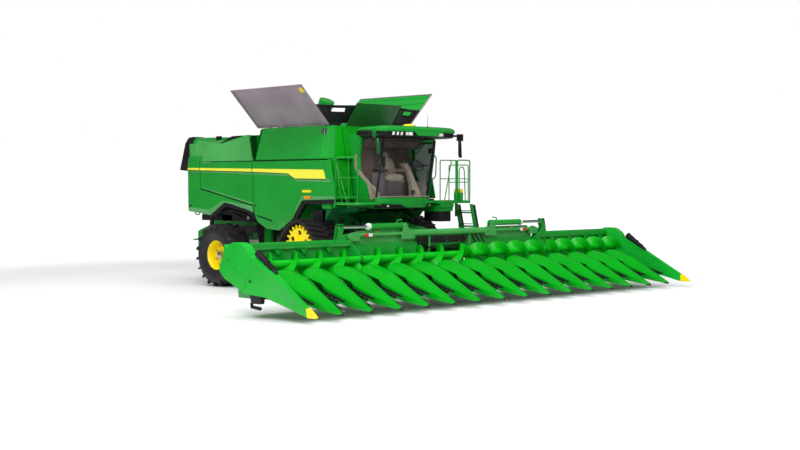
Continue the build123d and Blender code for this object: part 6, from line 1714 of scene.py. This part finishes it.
CARCASS_STEPS = 176
LUG_COUNT, LUG_STEPS = 44, 16
BELT_X = 1.647
SPROCKET = (-2.28, 1.18)
outside = belt_line(-0.045)
belt_length = outside[2]
samples = [belt_at(outside, belt_length * k / CARCASS_STEPS) for k in range(CARCASS_STEPS)]
lug_points = []
for k in range(LUG_COUNT * LUG_STEPS):
    lug_points.append(belt_at(outside, belt_length * k / (LUG_COUNT * LUG_STEPS)))
for name, side in SIDES:
    carcass = Shape()
    rings = []
    for point, normal in samples:
        ring = []
        for x, lift in (
            (1.195, -0.048), (1.192, -0.006), (1.215, 0.0), (2.075, 0.0), (2.100, -0.006), (2.097, -0.048)
        ):
            spot = point + normal * lift
            ring.append((side * x, spot.x, spot.y))
        rings.append(ring)
    rings.append(rings[0])
    carcass.skin(rings, caps=False)
    bmesh.ops.remove_doubles(carcass.mesh, verts=carcass.mesh.verts, dist=0.00001)
    belt = piece(f"belt_carcass_{name}", carcass, rubber, smooth=40)
    if name == "left":
        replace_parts(belt, "track_belts")
    lugs = Shape()
    for k in range(LUG_COUNT):
        for half in (-1, 1):
            rings = []
            for t in (0.0, 0.33, 0.66, 1.0):
                x = BELT_X + half * (0.015 + 0.425 * t)
                index = k * LUG_STEPS - (2 if half > 0 else 10) - 11 * t
                ring = []
                for step, lift in ((-2.6, -0.004), (-1.7, 0.0435), (1.7, 0.0435), (2.6, -0.004)):
                    at = (index + step) % len(lug_points)
                    low, high = lug_points[int(at)], lug_points[(int(at) + 1) % len(lug_points)]
                    point, normal = low[0].lerp(high[0], at % 1), low[1].lerp(high[1], at % 1)
                    spot = point + normal * lift
                    ring.append((side * x, spot.x, spot.y))
                rings.append(ring)
            lugs.skin(rings)
    piece(f"belt_lugs_{name}", lugs, rubber, smooth=30)
    guides = Shape()
    for k in range(0, CARCASS_STEPS, 4):
        point, normal = samples[k]
        along = Vector((-normal.y, normal.x))
        ring, top = [], []
        for x, step in ((1.60, -0.03), (1.69, -0.03), (1.69, 0.03), (1.60, 0.03)):
            spot = point - normal * 0.046 + along * step
            ring.append((side * x, spot.x, spot.y))
            spot = point - normal * 0.080 + along * step * 0.6
            top.append((side * x, spot.x, spot.y))
        guides.skin([ring, top])
    piece(f"belt_guides_{name}", guides, rubber)

    # Sprocket with finger teeth, and the idlers
    sprocket = Shape()
    y, z = SPROCKET
    dish = [
        (1.47, 0.0), (1.47, 0.14), (1.97, 0.14), (1.985, 0.20), (1.99, 0.34), (2.030, 0.355), (2.040, 0.335),
        (2.020, 0.20), (2.030, 0.125), (2.070, 0.115), (2.075, 0.10), (2.075, 0.0)
    ]
    sprocket.lathe((0, y, z), 0, flip(side, dish), 60, closed=False)
    cutter = Shape()
    for k in range(5):
        a = radians(96 + 72 * k)
        cutter.tube(flip(
            side, [(1.90, y + 0.252 * cos(a), z + 0.252 * sin(a)), (2.10, y + 0.252 * cos(a), z + 0.252 * sin(a))]
        ), 0.062, 24)
    wheel = piece(f"sprocket_disc_{name}", sprocket, yellow_paint, bevel=0.004, cutter=cutter, smooth=30)
    if name == "left":
        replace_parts(wheel, "track_wheels")
    fingers = Shape()
    for k in range(20):
        a = 2 * pi * (k + 0.3) / 20
        out = Vector((0, cos(a), sin(a)))
        across = Vector((0, -sin(a), cos(a)))
        hub = Vector((0, y, z))
        for low_x, high_x in ((1.985, 2.035), (1.275, 1.325)):
            rings = []
            for x in (low_x, high_x):
                ring = []
                for radius, half in (
                    (0.31, 0.030), (0.42, 0.024), (0.438, 0.014), (0.438, -0.014), (0.42, -0.024), (0.31, -0.030)
                ):
                    spot = hub + out * radius + across * half
                    ring.append((side * x, spot.y, spot.z))
                rings.append(ring)
            fingers.skin(rings)
    fingers.lathe((0, y, z), 0, flip(side, [(1.27, 0.0), (1.27, 0.34), (1.32, 0.35), (1.33, 0.0)]), 40, closed=False)
    for spot in ring_of(SPROCKET, 0.07, 10):
        fingers.tube(flip(side, [(2.06, *spot), (2.086, *spot)]), 0.012, 6)
    piece(f"sprocket_teeth_{name}", fingers, yellow_paint, bevel=0.004, smooth=30)
    tread, discs = Shape(), Shape()
    rollers = [
        (-3.26, 0.40, 0.300), (-1.30, 0.40, 0.300), (-2.70, 0.225, 0.125), (-2.28, 0.225, 0.125),
        (-1.86, 0.225, 0.125)
    ]
    for wy, wz, radius in rollers:
        for low_x, high_x in ((1.25, 1.56), (1.73, 2.035)):
            hub = radius * 0.72
            profile = [
                (low_x, hub), (low_x, radius - 0.03), (low_x + 0.02, radius - 0.004), (high_x - 0.02, radius - 0.004),
                (high_x, radius - 0.03), (high_x, hub)
            ]
            tread.lathe((0, wy, wz), 0, flip(side, profile) + [(side * low_x, hub)], 40, closed=False)
            profile = [
                (low_x + 0.01, 0.0), (low_x + 0.01, hub - 0.02), (low_x, hub + 0.002), (high_x, hub + 0.002),
                (high_x - 0.03, hub - 0.03), (high_x - 0.05, hub * 0.5), (high_x - 0.02, hub * 0.42),
                (high_x - 0.01, 0.0)
            ]
            discs.lathe((0, wy, wz), 0, flip(side, profile), 40, closed=False)
    piece(f"roller_tyres_{name}", tread, rubber, smooth=40)
    piece(f"roller_discs_{name}", discs, yellow_paint, smooth=30)

# ---------------------------------------------------------------- rear wheels
TYRE = (0.92, 0.785)
TYRE_X = 1.75
LUG_PAIRS = 18
for name, side in SIDES:
    body = f"rear_wheel_{name}"
    tyre = Shape()
    carcass_profile = [
        (1.50, 0.352), (1.475, 0.375), (1.43, 0.46), (1.408, 0.56), (1.412, 0.64), (1.440, 0.695), (1.50, 0.728),
        (1.62, 0.742), (1.75, 0.746), (1.88, 0.742), (2.0, 0.728), (2.060, 0.695), (2.088, 0.64), (2.092, 0.56),
        (2.07, 0.46), (2.025, 0.375), (2.0, 0.352), (1.50, 0.352)
    ]
    tyre.lathe((0, *TYRE), 0, flip(side, carcass_profile), 72, closed=False)
    for face in (1.0, -1.0):
        for radius in (0.44, 0.60):
            x = TYRE_X + face * (0.316 if radius < 0.5 else 0.339)
            tyre.lathe((0, *TYRE), 0, flip(
                side,
                [(x - 0.004 * face, radius - 0.012), (x + 0.003 * face, radius), (x - 0.004 * face, radius + 0.012)]
            ), 72, closed=False)
    rubber_tyre = piece(f"tyre_carcass_{name}", tyre, tyre_rubber, body, smooth=40)
    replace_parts(rubber_tyre, f"rear_tyre_{name}")
    bars = Shape()
    for k in range(LUG_PAIRS):
        for half in (-1, 1):
            start = 2 * pi * (k + (0.25 if half > 0 else -0.25)) / LUG_PAIRS
            rings = []
            for across, low, high, lag, width in (
                (-0.02, 0.742, 0.785, -0.02, 0.032), (0.14, 0.740, 0.785, 0.11, 0.032),
                (0.27, 0.715, 0.782, 0.215, 0.034), (0.330, 0.69, 0.768, 0.25, 0.036),
                (0.346, 0.64, 0.715, 0.262, 0.030)
            ):
                ring = []
                for shift, radius in ((-1.25, low - 0.012), (-0.85, high), (0.85, high), (1.25, low - 0.012)):
                    a = start - lag + shift * width
                    inward = 0.018 if radius == low - 0.012 and across > 0.3 else 0.0
                    ring.append((
                        side * (TYRE_X + half * (across - inward)), TYRE[0] + radius * cos(a),
                        TYRE[1] + radius * sin(a)
                    ))
                rings.append(ring)
            bars.skin(rings)
    piece(f"tyre_lugs_{name}", bars, tyre_rubber, body, smooth=30)
    rim_shape = Shape()
    rim_profile = [
        (2.012, 0.372), (2.020, 0.360), (1.995, 0.345), (1.965, 0.325), (1.90, 0.312), (1.80, 0.306), (1.78, 0.285),
        (1.80, 0.24), (1.845, 0.20), (1.86, 0.165), (1.86, 0.0)
    ]
    rim_shape.lathe((0, *TYRE), 0, flip(side, rim_profile), 64, closed=False)
    rim_shape.lathe((0, *TYRE), 0, flip(side, (
        (1.49, 0.372), (1.482, 0.358), (1.52, 0.345), (1.56, 0.315), (1.78, 0.31), (1.78, 0.30), (1.56, 0.30),
        (1.49, 0.35)
    )), 64, closed=False)
    disc = piece(f"rim_dish_{name}", rim_shape, yellow_paint, body, smooth=30)
    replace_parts(disc, f"rear_rim_{name}")
    nuts = Shape()
    for spot in ring_of(TYRE, 0.135, 10):
        nuts.tube(flip(side, [(1.855, *spot), (1.885, *spot)]), 0.016, 6)
    for spot in ring_of(TYRE, 0.262, 8, 0.5):
        nuts.tube(flip(side, [(1.80, *spot), (1.835, *spot)]), 0.020, 8)
    nuts.lathe((0, *TYRE), 0, flip(side, [(1.86, 0.095), (1.93, 0.085), (1.94, 0.06), (1.94, 0.0)]), 32, closed=False)
    piece(f"rim_nuts_{name}", nuts, steel, body, smooth=30)

# ---------------------------------------------------------------- under the machine
under = Shape()
for side in (-1, 1):
    under.pipe(
        flip(side, [(0.82, -2.70, 1.95), (0.87, -3.05, 1.84), (0.90, -3.20, 1.66), (0.90, -3.10, 1.50)]), 0.08, 0.022,
        8
    )
    under.pipe(
        flip(side, [(0.90, -2.70, 1.90), (0.94, -3.10, 1.76), (0.96, -3.22, 1.60), (0.94, -3.05, 1.45)]), 0.08, 0.018,
        8
    )
    under.box(span(side, 0.50, 0.78), (-2.95, -2.70), (1.88, 1.985))
    under.tube(flip(side, [(1.05, -2.66, 2.0), (1.05, -2.66, 1.62)]), 0.05, 12)
    under.tube(flip(side, [(1.05, -2.66, 1.80), (1.05, -2.66, 1.30)]), 0.03, 12)
    under.slab(0, [(-2.62, 1.50), (-2.20, 1.50), (-2.20, 1.95), (-2.70, 1.95)], 0.04, *span(side, 1.25, 1.55))
    under.slab(0, rectangle((1.0, 2.3), (1.62, 1.78)), 0.04, *span(side, 1.0, 1.45))
under.box((-0.50, 0.50), (-2.96, -2.70), (1.90, 1.985))
piece("hydraulics", under, black_plastic, bevel=0.004, smooth=40)
wall = Shape()
wall.prism(0, [(-2.57, 1.62), (-2.57, 2.10), (-2.90, 2.10), (-2.90, 1.98)], -1.55, 1.55)
wall.slab(1, rectangle((-1.55, -0.82), (1.62, 2.10)), 0.04, -2.62, -2.575)
piece("front_bulkhead", wall, dark_leaf, bevel=0.006)

# ---------------------------------------------------------------- feeder and ladder
feeder_parts = Shape()
for side in (-1, 1):
    feeder_parts.slab(0, rectangle((-4.86, -4.80), (0.60, 1.40)), 0.01, *span(side, 0.64, 0.70), steps=2)
    feeder_parts.tube(flip(side, [(0.745, -3.90, 1.22), (0.80, -3.90, 1.22)]), [0.16, 0.15], 28)
    feeder_parts.tube(flip(side, [(0.745, -3.40, 1.36), (0.79, -3.40, 1.36)]), 0.10, 24)
    feeder_parts.prism(0, [(-3.92, 1.37), (-3.40, 1.46), (-3.40, 1.44), (-3.92, 1.35)], *span(side, 0.755, 0.785))
    feeder_parts.prism(0, [(-3.94, 1.08), (-3.40, 1.28), (-3.40, 1.26), (-3.94, 1.06)], *span(side, 0.755, 0.785))
piece("feeder_drives", feeder_parts, black_plastic, "feeder", bevel=0.004, smooth=35)
stays = Shape()
for k in range(4):
    y = -3.25 - 0.42 * k
    z = 1.705 - 0.16 * k
    stays.prism(0, [(y, z - 0.10), (y + 0.05, z - 0.085), (y + 0.05, z - 0.06), (y, z - 0.075)], -0.62, 0.62)
stays.slab(1, [(-0.60, 1.42), (0.60, 1.42), (0.56, 1.50), (-0.56, 1.50)], 0.02, -4.86, -4.80)
piece("feeder_stays", stays, green_paint, "feeder", bevel=0.004)

steps = Shape()
for y in (-3.500, -3.985):
    steps.slab(1, [(2.43, 0.47), (2.56, 0.47), (2.16, 2.05), (2.03, 2.05)], 0.02, y - 0.006, y + 0.006)
for k in range(5):
    z = 0.56 + 0.33 * k
    x = 2.50 - 0.085 * k
    for n in range(5):
        steps.box((x - 0.17 + 0.042 * n, x - 0.155 + 0.042 * n), (-3.95, -3.53), (z + 0.02, z + 0.034))
piece("ladder_treads", steps, iron, "ladder", bevel=0.002)
below = Shape()
below.slab(2, rectangle((1.0, 1.38), (-3.92, -3.35)), 0.05, 1.66, 1.98)
below.slab(2, rectangle((1.40, 1.92), (-3.38, -3.12)), 0.04, 1.76, 2.06)
for x in (0.30, 0.60, -0.30, -0.60):
    below.pipe([(x, -3.10, 1.98), (x, -3.26, 1.93), (x * 0.9, -3.10, 1.88)], 0.04, 0.018, 8)
for k in range(5):
    below.pipe([
        (0.15 + 0.11 * k, -2.96, 1.98), (0.16 + 0.11 * k, -3.30, 1.93), (0.30 + 0.07 * k, -3.45, 1.90),
        (0.34 + 0.06 * k, -3.50, 1.98)
    ], 0.05, 0.013, 6)
piece("platform_equipment", below, black_plastic, bevel=0.006, smooth=40)
props = Shape()
for x, low, high in ((-1.30, 1.95, 2.09), (-1.05, 1.95, 2.09), (1.20, 1.98, 2.09), (1.85, 1.98, 2.09)):
    props.prism(0, [(-3.50, low), (-2.80, low - 0.10), (-2.80, high), (-3.50, high)], x - 0.02, x + 0.02)
piece("platform_props", props, dark_leaf, bevel=0.004)

# ---------------------------------------------------------------- rear underside
mass = Shape()
for low, high in ((-1.02, -0.76), (0.76, 1.02)):
    mass.slab(0, [(0.10, 1.05), (0.46, 1.00), (0.60, 1.75), (0.20, 1.95), (-0.02, 1.55)], 0.10, low, high)
mass.slab(0, [(0.05, 1.66), (1.42, 1.62), (1.50, 1.98), (0.80, 2.02), (0.05, 1.82)], 0.06, -1.45, 1.45)
for side in (-1, 1):
    mass.pipe(
        flip(side, [(1.46, 0.95, 1.82), (1.47, 0.55, 1.70), (1.44, 0.30, 1.64), (1.30, 0.20, 1.62)]), 0.10, 0.030, 10
    )
    mass.pipe(flip(side, [(1.48, 1.10, 1.90), (1.48, 0.50, 1.84), (1.46, 0.10, 1.70)]), 0.12, 0.022, 8)
piece("rear_machinery", mass, black_plastic, bevel=0.008, smooth=40)
posts = Shape()
for side in (-1, 1):
    for y in ((-0.02, 0.24), (-0.62, -0.50)):
        posts.slab(0, rectangle(y, (1.05, 1.60)), 0.02, *span(side, 0.95, 1.03))
    posts.slab(
        0, [(2.45, 1.20), (3.05, 0.86), (3.34, 0.86), (3.34, 1.30), (2.98, 1.42), (2.50, 1.44)], 0.04,
        *span(side, 0.80, 0.83)
    )
posts.box((-0.80, 0.80), (3.28, 3.34), (0.90, 1.02))
piece("spreader_housing", posts, green_paint, bevel=0.006)
tag = Shape().slab(0, rectangle((0.30, 0.38), (1.68, 1.80)), 0.01, -1.462, -1.44, steps=2)
piece("machinery_tag", tag, trim, bevel=0.002)

# ---------------------------------------------------------------- augers on top
UNLOADER = (1.73, 3.70)  # (x, z) of the unloading auger's line
collars = Shape()
for y in (-1.2, 0.4, 2.0, 3.6, 5.2, 6.6):
    collars.lathe(
        (UNLOADER[0], 0, UNLOADER[1]), 1, [(y, 0.200), (y, 0.222), (y + 0.045, 0.222), (y + 0.045, 0.200)], 36
    )
for y in (0.42, 3.62, 5.22):
    for x, z in ring_of(UNLOADER, 0.212, 12):
        collars.tube([(x, y + 0.040, z), (x, y + 0.052, z)], 0.008, 6)
piece("unloading_collars", collars, green_paint, "unloading_auger", smooth=35)

# ---------------------------------------------------------------- stage
floor_mesh = bpy.data.meshes.new("floor")
FLOOR_REACH = 220
floor_mesh.from_pydata([
    (-FLOOR_REACH, -FLOOR_REACH, 0), (FLOOR_REACH, -FLOOR_REACH, 0), (FLOOR_REACH, FLOOR_REACH, 0),
    (-FLOOR_REACH, FLOOR_REACH, 0)
], [], [(0, 1, 2, 3)])
floor = bpy.data.objects.new("floor", floor_mesh)
scene.collection.objects.link(floor)
floor_material, tree, shader, place = node_material("floor")
near = ramp(tree, noise(tree, place, 0.2, 2), (0.86, 0.86, 0.87), (0.89, 0.89, 0.90))
shader.inputs["Roughness"].default_value = 0.6
shader.inputs["Specular IOR Level"].default_value = 0.1
shader.inputs["Emission Color"].default_value = (1, 1, 1, 1)
# White to the camera away from the machine, and darker there to every other ray
separation = tree.nodes.new("ShaderNodeVectorMath")
separation.operation = "LENGTH"
tree.links.new(place.outputs["Object"], separation.inputs[0])
away = tree.nodes.new("ShaderNodeMapRange")
away.interpolation_type = "SMOOTHSTEP"
for socket, value in (("From Min", 8.0), ("From Max", 15.0), ("To Min", 0.0), ("To Max", 1.0)):
    away.inputs[socket].default_value = value
tree.links.new(separation.outputs["Value"], away.inputs["Value"])
floor_paths = tree.nodes.new("ShaderNodeLightPath")
floor_glow = tree.nodes.new("ShaderNodeMath")
floor_glow.operation = "MULTIPLY"
tree.links.new(floor_paths.outputs["Is Camera Ray"], floor_glow.inputs[0])
tree.links.new(away.outputs["Result"], floor_glow.inputs[1])
tree.links.new(floor_glow.outputs["Value"], shader.inputs["Emission Strength"])
fade = tree.nodes.new("ShaderNodeMix")
fade.data_type = "RGBA"
tree.links.new(away.outputs["Result"], fade.inputs["Factor"])
tree.links.new(near, fade.inputs[6])
fade.inputs[7].default_value = (0.16, 0.16, 0.16, 1)
tree.links.new(fade.outputs[2], shader.inputs["Base Color"])
floor_mesh.materials.append(floor_material)

DIFFUSE_LEVEL, GLOSSY_LEVEL = 0.60, 0.12
world = bpy.data.worlds.new("world")
scene.world = world
world.use_nodes = True
tree = world.node_tree
backdrop = tree.nodes["Background"]
backdrop.inputs["Color"].default_value = (1, 1, 1, 1)
# The background is white to the camera and through glass, and lights the object at lower levels
paths = tree.nodes.new("ShaderNodeLightPath")
seen = tree.nodes.new("ShaderNodeMath")
seen.operation = "MAXIMUM"
tree.links.new(paths.outputs["Is Camera Ray"], seen.inputs[0])
tree.links.new(paths.outputs["Is Transmission Ray"], seen.inputs[1])
level = tree.nodes.new("ShaderNodeMapRange")
lit = tree.nodes.new("ShaderNodeMapRange")
lit.inputs["To Min"].default_value = DIFFUSE_LEVEL
lit.inputs["To Max"].default_value = GLOSSY_LEVEL
tree.links.new(paths.outputs["Is Glossy Ray"], lit.inputs["Value"])
tree.links.new(lit.outputs["Result"], level.inputs["To Min"])
level.inputs["To Max"].default_value = 1.0
tree.links.new(seen.outputs[0], level.inputs["Value"])
tree.links.new(level.outputs["Result"], backdrop.inputs["Strength"])


def area_light(name, place, target, size, power):
    """A soft lamp at a place, aimed at a target."""
    lamp = bpy.data.lights.new(name, "AREA")
    lamp.shape = "RECTANGLE"
    lamp.size = size[0]
    lamp.size_y = size[1]
    lamp.energy = power
    holder = bpy.data.objects.new(name, lamp)
    holder.location = place
    holder.rotation_euler = (Vector(target) - Vector(place)).to_track_quat("-Z", "Y").to_euler()
    scene.collection.objects.link(holder)
    return holder


area_light("key", (-17, -14, 14), (0, -2, 1.5), (12, 8), 2900)
area_light("top", (-2, -3, 17), (0, -3, 0), (16, 16), 1900).visible_glossy = False
area_light("fill", (10, -20, 8), (1, -4, 1.5), (10, 8), 500).visible_glossy = False
